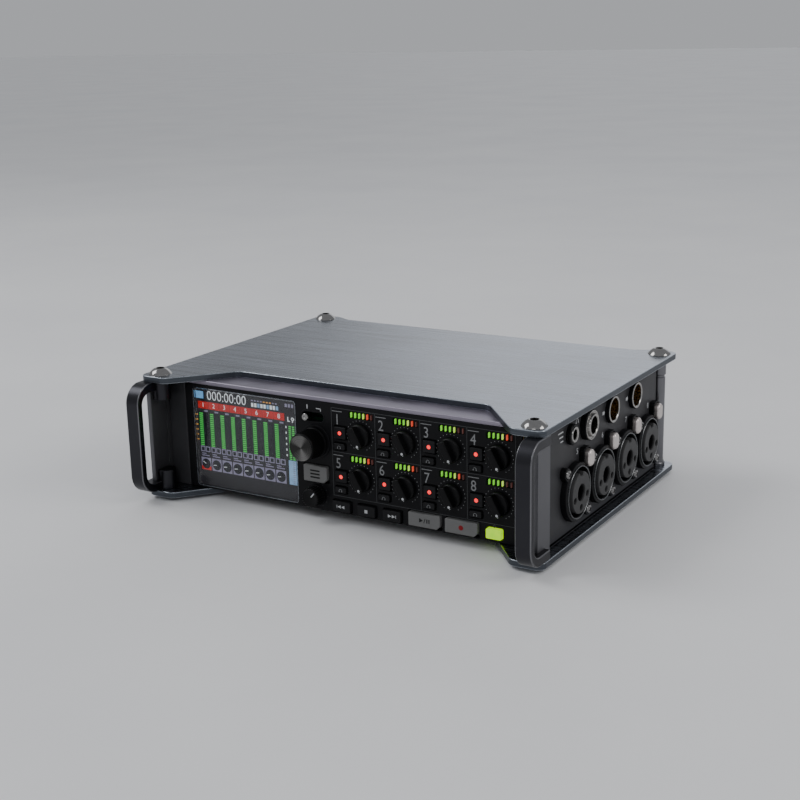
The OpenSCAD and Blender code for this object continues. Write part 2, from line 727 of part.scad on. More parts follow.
// slide-out tray with two layers of four cells
module battery_tray() {
  y0 = 1.5;
  y1 = cyb - 1.4;
  cell_r = 7;
  color([0.13, 0.13, 0.15]) {
    difference() {
      along_y(y1, cyb + 0.4) rr(-tray_hx, tray_z0, tray_hx, tray_z1, 0.8);
      // pull recess
      along_y(cyb - 0.6, cyb + 1) rr(-9, tray_z1 - 7, 9, tray_z1 - 2.4, 1.6);
    }
    box(-tray_hx, y0, tray_z0, tray_hx, y1 + 0.1, tray_z0 + 1);
    box(-tray_hx, y0, tray_z0, -tray_hx + 1, y1 + 0.1, tray_z1 - 4);
    box(tray_hx - 1, y0, tray_z0, tray_hx, y1 + 0.1, tray_z1 - 4);
    box(-tray_hx, y0, tray_z0, tray_hx, y0 + 1, tray_z1 - 4);
    box(-tray_hx + 0.9, y0, 24.1, tray_hx - 0.9, y1 + 0.1, 24.9);
    for (i = [0:3], j = [0:1])
      translate([-21.6 + 14.4 * i, 0, tray_z0 + 8 + j * 15.1]) {
        rod_y(0, 0, y0 + 2.4, y0 + 51.4, cell_r);
        rod_y(0, 0, y0 + 51.3, y0 + 52.6, 2.6);
      }
  }
}

// ---- one module per numbered control ---------------------------------------------------

module black() { color([0.1, 0.1, 0.11]) children(); }
module grey() { color([0.62, 0.62, 0.6]) children(); }

module gain_knob_1() { black() gain_knob(1); }
module gain_knob_2() { black() gain_knob(2); }
module gain_knob_3() { black() gain_knob(3); }
module gain_knob_4() { black() gain_knob(4); }
module gain_knob_5() { black() gain_knob(5); }
module gain_knob_6() { black() gain_knob(6); }
module gain_knob_7() { black() gain_knob(7); }
module gain_knob_8() { black() gain_knob(8); }
module track_key_1() { black() track_key(1); }
module track_key_2() { black() track_key(2); }
module track_key_3() { black() track_key(3); }
module track_key_4() { black() track_key(4); }
module track_key_5() { black() track_key(5); }
module track_key_6() { black() track_key(6); }
module track_key_7() { black() track_key(7); }
module track_key_8() { black() track_key(8); }
module listen_key_1() { black() listen_key(1); }
module listen_key_2() { black() listen_key(2); }
module listen_key_3() { black() listen_key(3); }
module listen_key_4() { black() listen_key(4); }
module listen_key_5() { black() listen_key(5); }
module listen_key_6() { black() listen_key(6); }
module listen_key_7() { black() listen_key(7); }
module listen_key_8() { black() listen_key(8); }
module latch_right_1() { latch_right(1); }
module latch_right_2() { latch_right(2); }
module latch_right_3() { latch_right(3); }
module latch_right_4() { latch_right(4); }
module latch_left_1() { latch_left(1); }
module latch_left_2() { latch_left(2); }
module latch_left_3() { latch_left(3); }
module latch_left_4() { latch_left(4); }
module menu_key() { grey() panel_key(key_menu, 1.8); }
module rewind_key() { black() panel_key(key_rew, 0); }
module stop_key() { black() panel_key(key_stop, 0); }
module forward_key() { black() panel_key(key_fwd, 0); }
module play_key() { grey() panel_key(key_play, 1.4); }
module record_key() { grey() panel_key(key_rec, 1.4); }
module power_key() { color([0.35, 0.9, 0.15]) panel_key(key_power, 0); }

top_plate();
bottom_plate();
handle_left();
handle_right();
rear_posts();
chassis_tray();
case_cover();
rear_panel();
front_panel();
clear_windows();
display_module();
circuit_boards();
combo_sockets();
panel_sockets();
corner_screws();
rubber_feet();
gain_knob_1();
gain_knob_2();
gain_knob_3();
gain_knob_4();
gain_knob_5();
gain_knob_6();
gain_knob_7();
gain_knob_8();
track_key_1();
track_key_2();
track_key_3();
track_key_4();
track_key_5();
track_key_6();
track_key_7();
track_key_8();
listen_key_1();
listen_key_2();
listen_key_3();
listen_key_4();
listen_key_5();
listen_key_6();
listen_key_7();
listen_key_8();
latch_right_1();
latch_right_2();
latch_right_3();
latch_right_4();
latch_left_1();
latch_left_2();
latch_left_3();
latch_left_4();
encoder_knob();
menu_key();
phones_knob();
slate_lever();
rewind_key();
stop_key();
forward_key();
play_key();
record_key();
power_key();
card_door();
battery_tray();
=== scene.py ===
"""Looks of a portable field recorder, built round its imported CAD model.

Shapes are drawn in millimetres in one of six face frames (u to the right, v up, w out of the
face) and become meshes in metres, in the model's own frame.
"""

import math

import bmesh
import bpy
from mathutils import Matrix, Vector
from mathutils.geometry import tessellate_polygon


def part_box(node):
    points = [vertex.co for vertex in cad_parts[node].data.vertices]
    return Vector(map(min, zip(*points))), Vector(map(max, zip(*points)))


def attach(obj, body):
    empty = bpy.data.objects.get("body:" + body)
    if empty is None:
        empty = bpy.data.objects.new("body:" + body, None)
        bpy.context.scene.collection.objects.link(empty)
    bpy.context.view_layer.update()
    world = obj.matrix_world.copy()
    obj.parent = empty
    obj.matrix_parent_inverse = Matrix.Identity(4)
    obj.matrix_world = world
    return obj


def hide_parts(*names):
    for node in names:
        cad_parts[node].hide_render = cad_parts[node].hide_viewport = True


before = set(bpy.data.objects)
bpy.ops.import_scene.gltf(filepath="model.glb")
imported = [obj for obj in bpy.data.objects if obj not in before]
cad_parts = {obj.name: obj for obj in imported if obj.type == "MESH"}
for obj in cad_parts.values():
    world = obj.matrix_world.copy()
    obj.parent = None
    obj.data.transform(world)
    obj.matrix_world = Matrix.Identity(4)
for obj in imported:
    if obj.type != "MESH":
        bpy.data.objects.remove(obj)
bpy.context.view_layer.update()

MM = 0.001
ROOT = "recorder"
X, Y, Z = Vector((1, 0, 0)), Vector((0, 1, 0)), Vector((0, 0, 1))
FACES = {
    "front": (X, Z, -Y),
    "rear": (-X, Z, Y),
    "right": (Y, Z, X),
    "left": (-Y, Z, -X),
    "mirror": (Y, Z, -X),
    "top": (X, Y, Z),
    "under": (X, -Y, -Z),
}


# ---- sizes taken from the frame, in millimetres -----------------------------------------


def box_mm(node):
    """Lowest and highest corner of a CAD node in millimetres."""
    low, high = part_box(node)
    return Vector(low) / MM, Vector(high) / MM


def middle(node):
    low, high = box_mm(node)
    return (low + high) / 2


plate_low, plate_high = box_mm("top_plate")
base_low, base_high = box_mm("bottom_plate")
cover_low, cover_high = box_mm("case_cover")
handle_low = box_mm("handle_right")[0]
screw_high = box_mm("corner_screws")[1]
panel_low, panel_high = box_mm("front_panel")

HALF_W = plate_high.x
CASE_X = cover_high.x
PANEL_Y = cover_low.y
REAR_Y = cover_high.y
SHEET = 1.2
PANEL_T = 2.5
SCREW_X = HALF_W - 6
SCREW_YS = (handle_low.y + 15, plate_high.y - 6)
KEY_GAP = 0.35
STEM_FOOT = -6.2
STRIPS = range(1, 9)
BUSHES = [(x, y) for x in (-25, 25) for y in (-20, 20)]
BUSH_BORE = 1.65


# ---- camera and light -------------------------------------------------------------------

CAMERA_PLACE = (0.2779, -0.46351, 0.18422)
CAMERA_TURN = (-31.3015, -15.1832, -1.2702)
CAMERA_LENS = 61.74
LIGHTS = (
    ("left_light", (-0.80, -0.25, 0.90), (0, 0, 0.02), (0.6, 0.5), 5.0, (0.97, 0.98, 1.0)),
    ("front_light", (0.35, -0.95, 0.85), (0, 0, 0.03), (0.6, 0.4), 2.0, (0.97, 0.98, 1.0)),
    ("side_light", (0.95, 0.15, 0.70), (0, 0, 0.03), (0.5, 0.4), 3.0, (1.0, 0.98, 0.96)),
)


def add_camera():
    """The photograph's viewpoint, without shift or depth of field."""
    yaw, pitch, roll = (math.radians(a) for a in CAMERA_TURN)
    level = math.cos(pitch)
    ahead = Vector((math.sin(yaw) * level, math.cos(yaw) * level, math.sin(pitch)))
    side = ahead.cross(Z).normalized()
    over = side.cross(ahead)
    right = side * math.cos(roll) + over * math.sin(roll)
    up = over * math.cos(roll) - side * math.sin(roll)
    data = bpy.data.cameras.new("camera")
    data.lens = CAMERA_LENS
    data.sensor_width = 36
    data.clip_start = 0.01
    camera = bpy.data.objects.new("camera", data)
    bpy.context.collection.objects.link(camera)
    turn = Matrix((right, up, -ahead)).transposed()
    camera.matrix_world = Matrix.Translation(CAMERA_PLACE) @ turn.to_4x4()
    bpy.context.scene.camera = camera


def add_area(name, place, aim, size, power, tint):
    """Soft rectangular lamp at place, turned towards aim."""
    data = bpy.data.lights.new(name, "AREA")
    data.shape = "RECTANGLE"
    data.size, data.size_y = size
    data.energy = power
    data.color = tint
    lamp = bpy.data.objects.new(name, data)
    bpy.context.collection.objects.link(lamp)
    lamp.location = place
    lamp.rotation_euler = (Vector(aim) - Vector(place)).to_track_quat("-Z", "Y").to_euler()


# ---- procedural materials ---------------------------------------------------------------


class Graph:
    """A small helper that adds and joins shader nodes."""

    def __init__(self, name):
        self.material = bpy.data.materials.new(name)
        self.material.use_nodes = True
        self.tree = self.material.node_tree
        self.shader = self.tree.nodes["Principled BSDF"]
        self.coords = self.tree.nodes.new("ShaderNodeTexCoord").outputs["Object"]

    def node(self, kind, **inputs):
        made = self.tree.nodes.new(kind)
        for key, value in inputs.items():
            self.feed(made.inputs[key.replace("_", " ")], value)
        return made

    def feed(self, socket, value):
        if isinstance(value, bpy.types.NodeSocket):
            self.tree.links.new(value, socket)
        else:
            socket.default_value = value

    def noise(self, scale, detail=4.0, stretch=(1, 1, 1), roughness=0.55):
        """Noise value whose features are about 1/scale metres, stretched along each axis."""
        mapping = self.node("ShaderNodeMapping", Vector=self.coords, Scale=stretch)
        made = self.node("ShaderNodeTexNoise", Vector=mapping.outputs[0], Scale=scale, Detail=detail)
        made.inputs["Roughness"].default_value = roughness
        return made.outputs["Fac"]

    def ramp(self, value, low, high, start=0.3, end=0.7):
        made = self.tree.nodes.new("ShaderNodeValToRGB")
        made.color_ramp.elements[0].position = start
        made.color_ramp.elements[0].color = (*low, 1)
        made.color_ramp.elements[1].position = end
        made.color_ramp.elements[1].color = (*high, 1)
        self.feed(made.inputs[0], value)
        return made.outputs[0]

    def spread(self, value, low, high):
        made = self.node("ShaderNodeMapRange", Value=value)
        made.inputs["From Min"].default_value = 0.3
        made.inputs["From Max"].default_value = 0.7
        made.inputs["To Min"].default_value = low
        made.inputs["To Max"].default_value = high
        return made.outputs[0]

    def bump(self, value, depth, strength=1.0, after=None):
        made = self.node("ShaderNodeBump", Height=value)
        made.inputs["Strength"].default_value = strength
        made.inputs["Distance"].default_value = depth
        if after:
            self.feed(made.inputs["Normal"], after)
        return made.outputs[0]

    def set(self, **values):
        for key, value in values.items():
            self.feed(self.shader.inputs[key.replace("_", " ")], value)
        return self.material


def shade(colour, factor):
    return tuple(min(1.0, c * factor) for c in colour)


def brushed(name, colour, rough=0.36, streak=(14, 900, 900), contrast=0.22, depth=6e-6):
    """Anodised metal with fine straight brush lines and faint handling marks."""
    g = Graph(name)
    lines = g.noise(1.0, 6.0, streak, 0.7)
    broad = g.noise(18.0, 3.0)
    tone = g.ramp(lines, shade(colour, 1 - contrast), shade(colour, 1 + contrast), 0.4, 0.6)
    cloud = g.ramp(broad, (0.86, 0.86, 0.86), (1.0, 1.0, 1.0))
    mix = g.node("ShaderNodeMix")
    mix.data_type = "RGBA"
    mix.blend_type = "MULTIPLY"
    mix.inputs["Factor"].default_value = 1.0
    g.feed(mix.inputs[6], tone)
    g.feed(mix.inputs[7], cloud)
    return g.set(
        Base_Color=mix.outputs[2],
        Metallic=1.0,
        Roughness=g.spread(lines, rough - 0.09, rough + 0.1),
        Normal=g.bump(lines, depth),
    )


def satin_metal(name, colour, rough=0.42, grain=5200, depth=5e-6, tone=0.12):
    """Bead-blasted or cast metal: an even fine grain with soft changes of gloss."""
    g = Graph(name)
    fine = g.noise(grain, 3.0)
    broad = g.noise(45.0, 4.0)
    return g.set(
        Base_Color=g.ramp(broad, shade(colour, 1 - tone), shade(colour, 1 + tone)),
        Metallic=1.0,
        Roughness=g.spread(broad, rough - 0.06, rough + 0.07),
        Normal=g.bump(fine, depth),
    )


def polished(name, colour, rough=0.14):
    """Plated metal with faint swirl marks."""
    g = Graph(name)
    marks = g.noise(700.0, 6.0, (1, 1, 3))
    return g.set(
        Base_Color=g.ramp(marks, shade(colour, 0.9), colour),
        Metallic=1.0,
        Roughness=g.spread(marks, rough * 0.7, rough * 1.6),
        Normal=g.bump(marks, 1.5e-6),
    )


def moulded(name, colour, rough=0.45, grain=3600, depth=1.2e-5, tone=0.16, coat=0.0, gloss=0.2):
    """Moulded plastic or powder coat: spark-eroded grain and slight unevenness of colour."""
    g = Graph(name)
    fine = g.noise(grain, 2.0)
    broad = g.noise(70.0, 4.0)
    return g.set(
        Base_Color=g.ramp(broad, shade(colour, 1 - tone), shade(colour, 1 + tone)),
        Roughness=g.spread(broad, rough - 0.06, rough + 0.08),
        Normal=g.bump(fine, depth),
        Coat_Weight=coat,
        Specular_IOR_Level=gloss,
    )


def printed(name, colour, rough=0.6):
    """Screen-printed ink with tiny thin spots."""
    g = Graph(name)
    spots = g.noise(5200.0, 3.0)
    return g.set(
        Base_Color=g.ramp(spots, shade(colour, 0.78), colour, 0.25, 0.5),
        Roughness=g.spread(spots, rough - 0.05, rough + 0.1),
        Specular_IOR_Level=0.2,
    )


def lit(name, colour, power, hot=None, scale=900.0):
    """A lamp behind a diffuser: brighter and paler in patches."""
    g = Graph(name)
    patches = g.noise(scale, 2.0)
    glow = g.ramp(patches, colour, hot or shade(colour, 1.25))
    return g.set(
        Base_Color=g.ramp(patches, shade(colour, 0.35), shade(colour, 0.5)),
        Emission_Color=glow,
        Emission_Strength=power,
        Roughness=0.3,
    )


def glazing(name, colour=(0.93, 0.95, 0.97)):
    """Clear display pane with a few smears in its gloss."""
    g = Graph(name)
    smears = g.noise(55.0, 6.0, (1, 1, 2.5))
    return g.set(
        Base_Color=g.ramp(smears, shade(colour, 0.97), colour),
        Transmission_Weight=1.0,
        IOR=1.25,
        Roughness=g.spread(smears, 0.015, 0.06),
    )


def rubbery(name, colour):
    g = Graph(name)
    fine = g.noise(2600.0, 5.0)
    dust = g.noise(120.0, 5.0)
    return g.set(
        Base_Color=g.ramp(dust, colour, shade(colour, 1.8), 0.45, 0.8),
        Roughness=g.spread(dust, 0.7, 0.9),
        Normal=g.bump(fine, 2e-5),
    )


def spun(name, colour, axis_x, axis_z):
    """Turned metal face: fine rings round an axis along Y, and a painted sheen of lighter and darker wedges
    in the colour that stands in for the light they throw.
    """
    g = Graph(name)

    def maths(operation, *inputs):
        made = g.tree.nodes.new("ShaderNodeMath")
        made.operation = operation
        for socket, value in zip(made.inputs, inputs):
            g.feed(socket, value)
        return made.outputs[0]

    shift = g.node("ShaderNodeMapping", Vector=g.coords, Location=(-axis_x, 0, -axis_z))
    split = g.node("ShaderNodeSeparateXYZ", Vector=shift.outputs[0])
    across, up = split.outputs[0], split.outputs[2]
    radius = maths("SQRT", maths("ADD", maths("MULTIPLY", across, across), maths("MULTIPLY", up, up)))
    rings = g.node("ShaderNodeTexNoise", Vector=radius, Scale=9000.0, Detail=2.0).outputs["Fac"]
    # painted sheen: wedges round the axis are put into the base colour, so they turn with the knob
    angle = maths("ARCTAN2", up, across)
    painted_sheen = maths("ADD", maths("COSINE", maths("ADD", maths("MULTIPLY", angle, 2.0), 2.6)),
                maths("MULTIPLY", maths("COSINE", maths("MULTIPLY", angle, 5.0)), 0.25))
    rings_and_painted_sheen = maths("ADD", maths("MULTIPLY", painted_sheen, 0.28), rings)
    return g.set(
        Base_Color=g.ramp(rings_and_painted_sheen, shade(colour, 0.28), shade(colour, 1.5), 0.35, 0.85),
        Metallic=1.0,
        Roughness=g.spread(rings, 0.24, 0.4),
        Normal=g.bump(rings, 5e-6),
        Anisotropic=0.7,
    )


PLATE = brushed("plate_metal", (0.235, 0.255, 0.29), 0.26, (26, 1900, 900), 0.42)
CUT_EDGE = brushed("cut_edge", (0.36, 0.39, 0.43), 0.28, (60, 900, 900), 0.1)
# painted shade: the plates' side walls get a darker copy of the plate metal, standing in for the shade on
# them
PLATE_WALL_PAINTED_SHADE = brushed("edge_wall_painted_shade", (0.085, 0.095, 0.11), 0.4, (60, 60, 2600), 0.2)
HANDLE = satin_metal("handle_metal", (0.038, 0.038, 0.043), 0.34)
# painted highlight: a lighter copy of the handle metal on the rounded rims, standing in for the thin bright
# lines their edges catch
HANDLE_RIM_PAINTED_HIGHLIGHT = satin_metal("handle_rim_painted_highlight", (0.17, 0.17, 0.18), 0.3)
CHEEK = satin_metal("cheek_metal", (0.16, 0.16, 0.17), 0.5, 4200)
POST = satin_metal("post_metal", (0.17, 0.17, 0.18), 0.32)
COVER = satin_metal("cover_metal", (0.30, 0.275, 0.33), 0.46, 4200)
CASE = moulded("case_metal", (0.034, 0.034, 0.037), 0.46, 3800, 1.6e-5, gloss=0.25)
PANEL = moulded("panel_black", (0.007, 0.007, 0.008), 0.42, 4200, 8e-6, gloss=0.12)
SOCKET = moulded("socket_black", (0.006, 0.006, 0.007), 0.38, 3000, 1e-5, gloss=0.14)
INSERT = moulded("socket_insert", (0.052, 0.052, 0.053), 0.5, 2600, 1.4e-5)
KNOB = moulded("knob", (0.0045, 0.0045, 0.005), 0.36, 5200, 9e-6, gloss=0.14)
KEY_DARK = moulded("key_dark", (0.010, 0.010, 0.011), 0.4, 5200, 7e-6, 0.12, gloss=0.15)
KEY_LIGHT = moulded("key_light", (0.15, 0.15, 0.148), 0.46, 5200, 8e-6, 0.05)
TRAY = moulded("tray", (0.02, 0.02, 0.022), 0.5, 3000, 1.6e-5)
RUBBER = rubbery("rubber", (0.018, 0.018, 0.018))
CHROME = polished("screw", (0.27, 0.265, 0.26), 0.1)
NICKEL = polished("nickel", (0.36, 0.35, 0.335), 0.18)
RIM_METAL = polished("socket_rim", (0.16, 0.165, 0.17), 0.26)
GOLD = polished("gold", (0.52, 0.38, 0.18), 0.22)
LATCH = brushed("latch", (0.74, 0.68, 0.65), 0.42, (700, 700, 60), 0.06, 3e-6)
# the encoder face's wedge-shaped sheen is painted into its colour
ENCODER_FACE = spun("encoder_face", (0.12, 0.118, 0.114), middle("encoder_knob").x * MM,
                    middle("encoder_knob").z * MM)
GLASS = glazing("window")
# white print, also used for the painted highlight on the end of each gain knob's bar
WHITE_PRINT_AND_HIGHLIGHT = printed("white_print_and_painted_highlight", (0.50, 0.51, 0.52))
PALE_INK = printed("pale_ink", (0.24, 0.245, 0.25))
GREY_INK = printed("grey_ink", (0.060, 0.062, 0.065))
# black print on the keys, also used as painted shade for the cross recesses of the socket lug screws
BLACK_PRINT_AND_RECESS_SHADE = printed("black_print_and_painted_shade", (0.006, 0.006, 0.006))
RED_INK = printed("red_ink", (0.22, 0.008, 0.012))
BOARD = moulded("board", (0.007, 0.045, 0.022), 0.35, 900, 2e-5, 0.25, 0.3)
CELL = moulded("cell_sleeve", (0.05, 0.12, 0.22), 0.3, 1500, 4e-6, 0.2, 0.4)
RED_LAMP = lit("red_lamp", (0.95, 0.010, 0.018), 1.7, (1.0, 0.06, 0.05))
GREEN_KEY = lit("key_green", (0.36, 0.80, 0.0), 0.95, (0.56, 0.92, 0.0), 260.0)
LAMP_GREEN = lit("lamp_green", (0.12, 0.60, 0.02), 0.95, (0.28, 0.78, 0.06))
LAMP_LIME = lit("lamp_lime", (0.42, 0.78, 0.05), 1.0, (0.60, 0.88, 0.14))
LAMP_RED = lit("lamp_red", (0.85, 0.05, 0.02), 0.75, (0.95, 0.12, 0.05))
LAMP_OFF = lit("lamp_off", (0.16, 0.05, 0.04), 0.2)
SCREEN_BACK = lit("screen_back", (0.020, 0.018, 0.022), 0.3, (0.028, 0.024, 0.030), 60.0)
SCREEN = {
    "green": lit("screen_green", (0.045, 0.46, 0.06), 0.85, (0.07, 0.58, 0.09), 500.0),
    "red": lit("screen_red", (0.50, 0.014, 0.010), 0.6, (0.60, 0.024, 0.016), 300.0),
    "white": lit("screen_white", (0.78, 0.82, 0.85), 0.65),
    "blue": lit("screen_blue", (0.14, 0.40, 0.74), 0.65, (0.19, 0.48, 0.82), 400.0),
    "pale": lit("screen_pale", (0.26, 0.46, 0.72), 0.5, (0.34, 0.56, 0.80), 400.0),
    "grey": lit("screen_grey", (0.27, 0.25, 0.36), 0.5, (0.33, 0.31, 0.43), 400.0),
    "dark": lit("screen_dark", (0.008, 0.008, 0.014), 0.3),
    "amber": lit("screen_amber", (0.86, 0.40, 0.07), 0.6),
}


# ---- outlines ---------------------------------------------------------------------------


def disc(u, v, radius, count=48):
    step = 2 * math.pi / count
    return [(u + radius * math.cos(i * step), v + radius * math.sin(i * step)) for i in range(count)]


def softened(corners, radius, count=6):
    """Closed outline with each corner turned into an arc; radius is one number or one each."""
    size = len(corners)
    radii = radius if isinstance(radius, (list, tuple)) else [radius] * size
    points = []
    for i, corner in enumerate(corners):
        here = Vector(corner)
        back = (Vector(corners[i - 1]) - here)
        on = (Vector(corners[(i + 1) % size]) - here)
        if radii[i] <= 0:
            points.append(tuple(here))
            continue
        half = back.angle(on) / 2
        reach = min(radii[i] / math.tan(half), back.length * 0.499, on.length * 0.499)
        start, end = here + back.normalized() * reach, here + on.normalized() * reach
        centre = here + (back.normalized() + on.normalized()).normalized() * (reach / math.cos(half))
        spoke = start - centre
        sweep = spoke.angle_signed(end - centre)
        for k in range(count + 1):
            turned = spoke.copy()
            turned.rotate(Matrix.Rotation(-sweep * k / count, 2))
            points.append(tuple(centre + turned))
    return points


def rounded(u0, v0, u1, v1, radius, count=5):
    return softened([(u0, v0), (u1, v0), (u1, v1), (u0, v1)], radius, count)


def about(u, v, width, height, radius, count=5):
    return rounded(u - width / 2, v - height / 2, u + width / 2, v + height / 2, radius, count)


def turned(outline, angle, u=0.0, v=0.0):
    """The outline turned by angle degrees about the origin, then moved to u, v."""
    c, s = math.cos(math.radians(angle)), math.sin(math.radians(angle))
    return [(u + c * a - s * b, v + s * a + c * b) for a, b in outline]


def shifted(outline, u, v):
    return [(a + u, b + v) for a, b in outline]


def spoke(radius, angle):
    """Point on a circle about the origin, at an angle in degrees."""
    a = math.radians(angle)
    return radius * math.cos(a), radius * math.sin(a)


def arc_band(u, v, outer, inner, start, end, count=16):
    """Part of a flat ring between two angles in degrees."""
    span = [math.radians(start + (end - start) * k / count) for k in range(count + 1)]
    return ([(u + outer * math.cos(a), v + outer * math.sin(a)) for a in span]
            + [(u + inner * math.cos(a), v + inner * math.sin(a)) for a in reversed(span)])


def area_of(outline):
    pairs = zip(outline, outline[1:] + outline[:1])
    return sum(a[0] * b[1] - b[0] * a[1] for a, b in pairs) / 2


def inset(outline, amount):
    """Moves a loop to its left by amount, with mitred corners."""
    size = len(outline)
    points = []
    for i in range(size):
        here = Vector(outline[i])
        before = (here - Vector(outline[i - 1])).normalized()
        after = (Vector(outline[(i + 1) % size]) - here).normalized()
        n0, n1 = Vector((-before.y, before.x)), Vector((-after.y, after.x))
        bisector = n0 + n1
        if bisector.length < 1e-6:
            bisector = n0
        bisector.normalize()
        points.append(tuple(here + bisector * (amount / max(0.35, bisector.dot(n0)))))
    return points


# ---- mesh pieces ------------------------------------------------------------------------


class Shape:
    """One mesh piece, drawn in a face frame whose origin is given in model millimetres."""

    def __init__(self, face, origin=(0, 0, 0)):
        self.face = FACES[face]
        self.origin = Vector(origin)
        self.points, self.polygons, self.slots, self.materials = [], [], [], []

    def slot(self, material):
        if material not in self.materials:
            self.materials.append(material)
        return self.materials.index(material)

    def add(self, points, polygons, material):
        base = len(self.points)
        u, v, w = self.face
        self.points += [self.origin + u * p[0] + v * p[1] + w * p[2] for p in points]
        self.polygons += [[base + i for i in polygon] for polygon in polygons]
        self.slots += [self.slot(material)] * len(polygons)

    def plate(self, outline, w0, w1, material, holes=(), top=0.2, bottom=0.0, edge=None, wall=None,
              steps=3):
        """Flat slab between w0 and w1 with rounded rims and through holes."""
        loops = [list(outline)] + [list(h) for h in holes]
        for i, loop in enumerate(loops):
            if (area_of(loop) > 0) == (i > 0):
                loop.reverse()
        levels = [(0.0, w1 - top), (0.0, w0 + bottom)]
        quarter = math.pi / 2
        if top > 0:
            rise = [k * quarter / steps for k in range(steps, 0, -1)]
            levels = [(top * (1 - math.cos(a)), w1 - top + top * math.sin(a)) for a in rise] + levels
        if bottom > 0:
            fall = [k * quarter / steps for k in range(1, steps + 1)]
            levels += [(bottom * (1 - math.cos(a)), w0 + bottom - bottom * math.sin(a)) for a in fall]
        sizes = [len(loop) for loop in loops]
        total = sum(sizes)
        points = []
        for amount, w in levels:
            for loop in loops:
                ring = inset(loop, amount) if amount > 0 else loop
                points += [(a, b, w) for a, b in ring]
        walls, rims = [], []
        for level in range(len(levels) - 1):
            start = level * total
            in_rim = level < (steps if top > 0 else 0) or level > (steps if top > 0 else 0)
            for size in sizes:
                for i in range(size):
                    j = (i + 1) % size
                    quad = [start + i, start + total + i, start + total + j, start + j]
                    (rims if in_rim else walls).append(quad)
                start += size
        caps = []
        for level, up in ((0, True), (len(levels) - 1, False)):
            flat, start = [], level * total
            for size in sizes:
                flat.append([Vector((*points[start + i][:2], 0)) for i in range(size)])
                start += size
            for a, b, c in tessellate_polygon(flat):
                p, q, r = (points[level * total + i] for i in (a, b, c))
                turn = (q[0] - p[0]) * (r[1] - p[1]) - (q[1] - p[1]) * (r[0] - p[0])
                if abs(turn) > 1e-9:
                    order = (a, b, c) if (turn > 0) == up else (a, c, b)
                    caps.append([level * total + i for i in order])
        base = len(self.points)
        self.add(points, caps, material)
        for faces, finish in ((walls, wall or material), (rims, edge or material)):
            self.polygons += [[base + i for i in polygon] for polygon in faces]
            self.slots += [self.slot(finish)] * len(faces)
        return self

    def mark(self, outline, material, w=0.0, thick=0.05, holes=()):
        """Printed mark: a thin film on the surface at height w."""
        return self.plate(outline, w, w + thick, material, holes, 0)

    def lathe(self, u, v, profile, material, count=48, ripple=None):
        """Turned shape: profile is (radius, w) from the outer foot to the middle of the top."""
        points, polygons, rings = [], [], []
        for k, (radius, w) in enumerate(profile):
            if radius < 1e-6:
                rings.append([len(points)])
                points.append((u, v, w))
                continue
            ring = []
            for i in range(count):
                angle = 2 * math.pi * i / count
                grown = radius + (ripple(k, angle) if ripple else 0)
                ring.append(len(points))
                points.append((u + grown * math.cos(angle), v + grown * math.sin(angle), w))
            rings.append(ring)
        for low, high in zip(rings, rings[1:]):
            for i in range(count):
                j = (i + 1) % count
                if len(low) == 1 and len(high) == 1:
                    continue
                if len(high) == 1:
                    polygons.append([low[i], low[j], high[0]])
                elif len(low) == 1:
                    polygons.append([low[0], high[j], high[i]])
                else:
                    polygons.append([low[i], low[j], high[j], high[i]])
        self.add(points, polygons, material)
        return self

    def text(self, words, u, v, w, size, material, thick=0.06, narrow=1.0, thin=0.0):
        """Plain figures, centred on u, v, drawn narrower or with thinner strokes if asked."""
        curve = bpy.data.curves.new("figures", "FONT")
        curve.body = words
        curve.size = size
        curve.extrude = thick / 2
        curve.align_x = "CENTER"
        curve.align_y = "CENTER"
        curve.resolution_u = 3
        curve.offset = -thin
        holder = bpy.data.objects.new("figures", curve)
        bpy.context.collection.objects.link(holder)
        bpy.context.view_layer.update()
        mesh = bpy.data.meshes.new_from_object(holder)
        points = [(p.co.x * narrow + u, p.co.y + v, p.co.z + w + thick / 2) for p in mesh.vertices]
        self.add(points, [list(p.vertices) for p in mesh.polygons], material)
        bpy.data.objects.remove(holder)
        bpy.data.meshes.remove(mesh)
        bpy.data.curves.remove(curve)
        return self

    def finish(self, name, body=ROOT, replaces=(), slot=None, sharp=32, weld=True):
        """Makes the object, smooths it and hangs it on its CAD body."""
        mesh = bpy.data.meshes.new(name)
        mesh.from_pydata([tuple(p * MM) for p in self.points], [], self.polygons)
        for material in self.materials:
            mesh.materials.append(material)
        for polygon, index in zip(mesh.polygons, self.slots):
            polygon.material_index = index
        work = bmesh.new()
        work.from_mesh(mesh)
        if weld:
            bmesh.ops.remove_doubles(work, verts=work.verts, dist=1e-7)
        bmesh.ops.recalc_face_normals(work, faces=work.faces)
        work.to_mesh(mesh)
        work.free()
        mesh.shade_smooth()
        mesh.set_sharp_from_angle(angle=math.radians(sharp))
        piece = bpy.data.objects.new(name, mesh)
        bpy.context.collection.objects.link(piece)
        weighted = piece.modifiers.new("even_normals", "WEIGHTED_NORMAL")
        weighted.keep_sharp = True
        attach(piece, body)
        if replaces:
            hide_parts(*([replaces] if isinstance(replaces, str) else replaces))
        return piece


def arc_profile(radius, r0, w0, start, end, count=5):
    """Points of a quarter or part arc in (radius, w), centred on r0, w0, angles in degrees."""
    span = [math.radians(start + (end - start) * k / count) for k in range(count + 1)]
    return [(r0 + radius * math.cos(a), w0 + radius * math.sin(a)) for a in span]


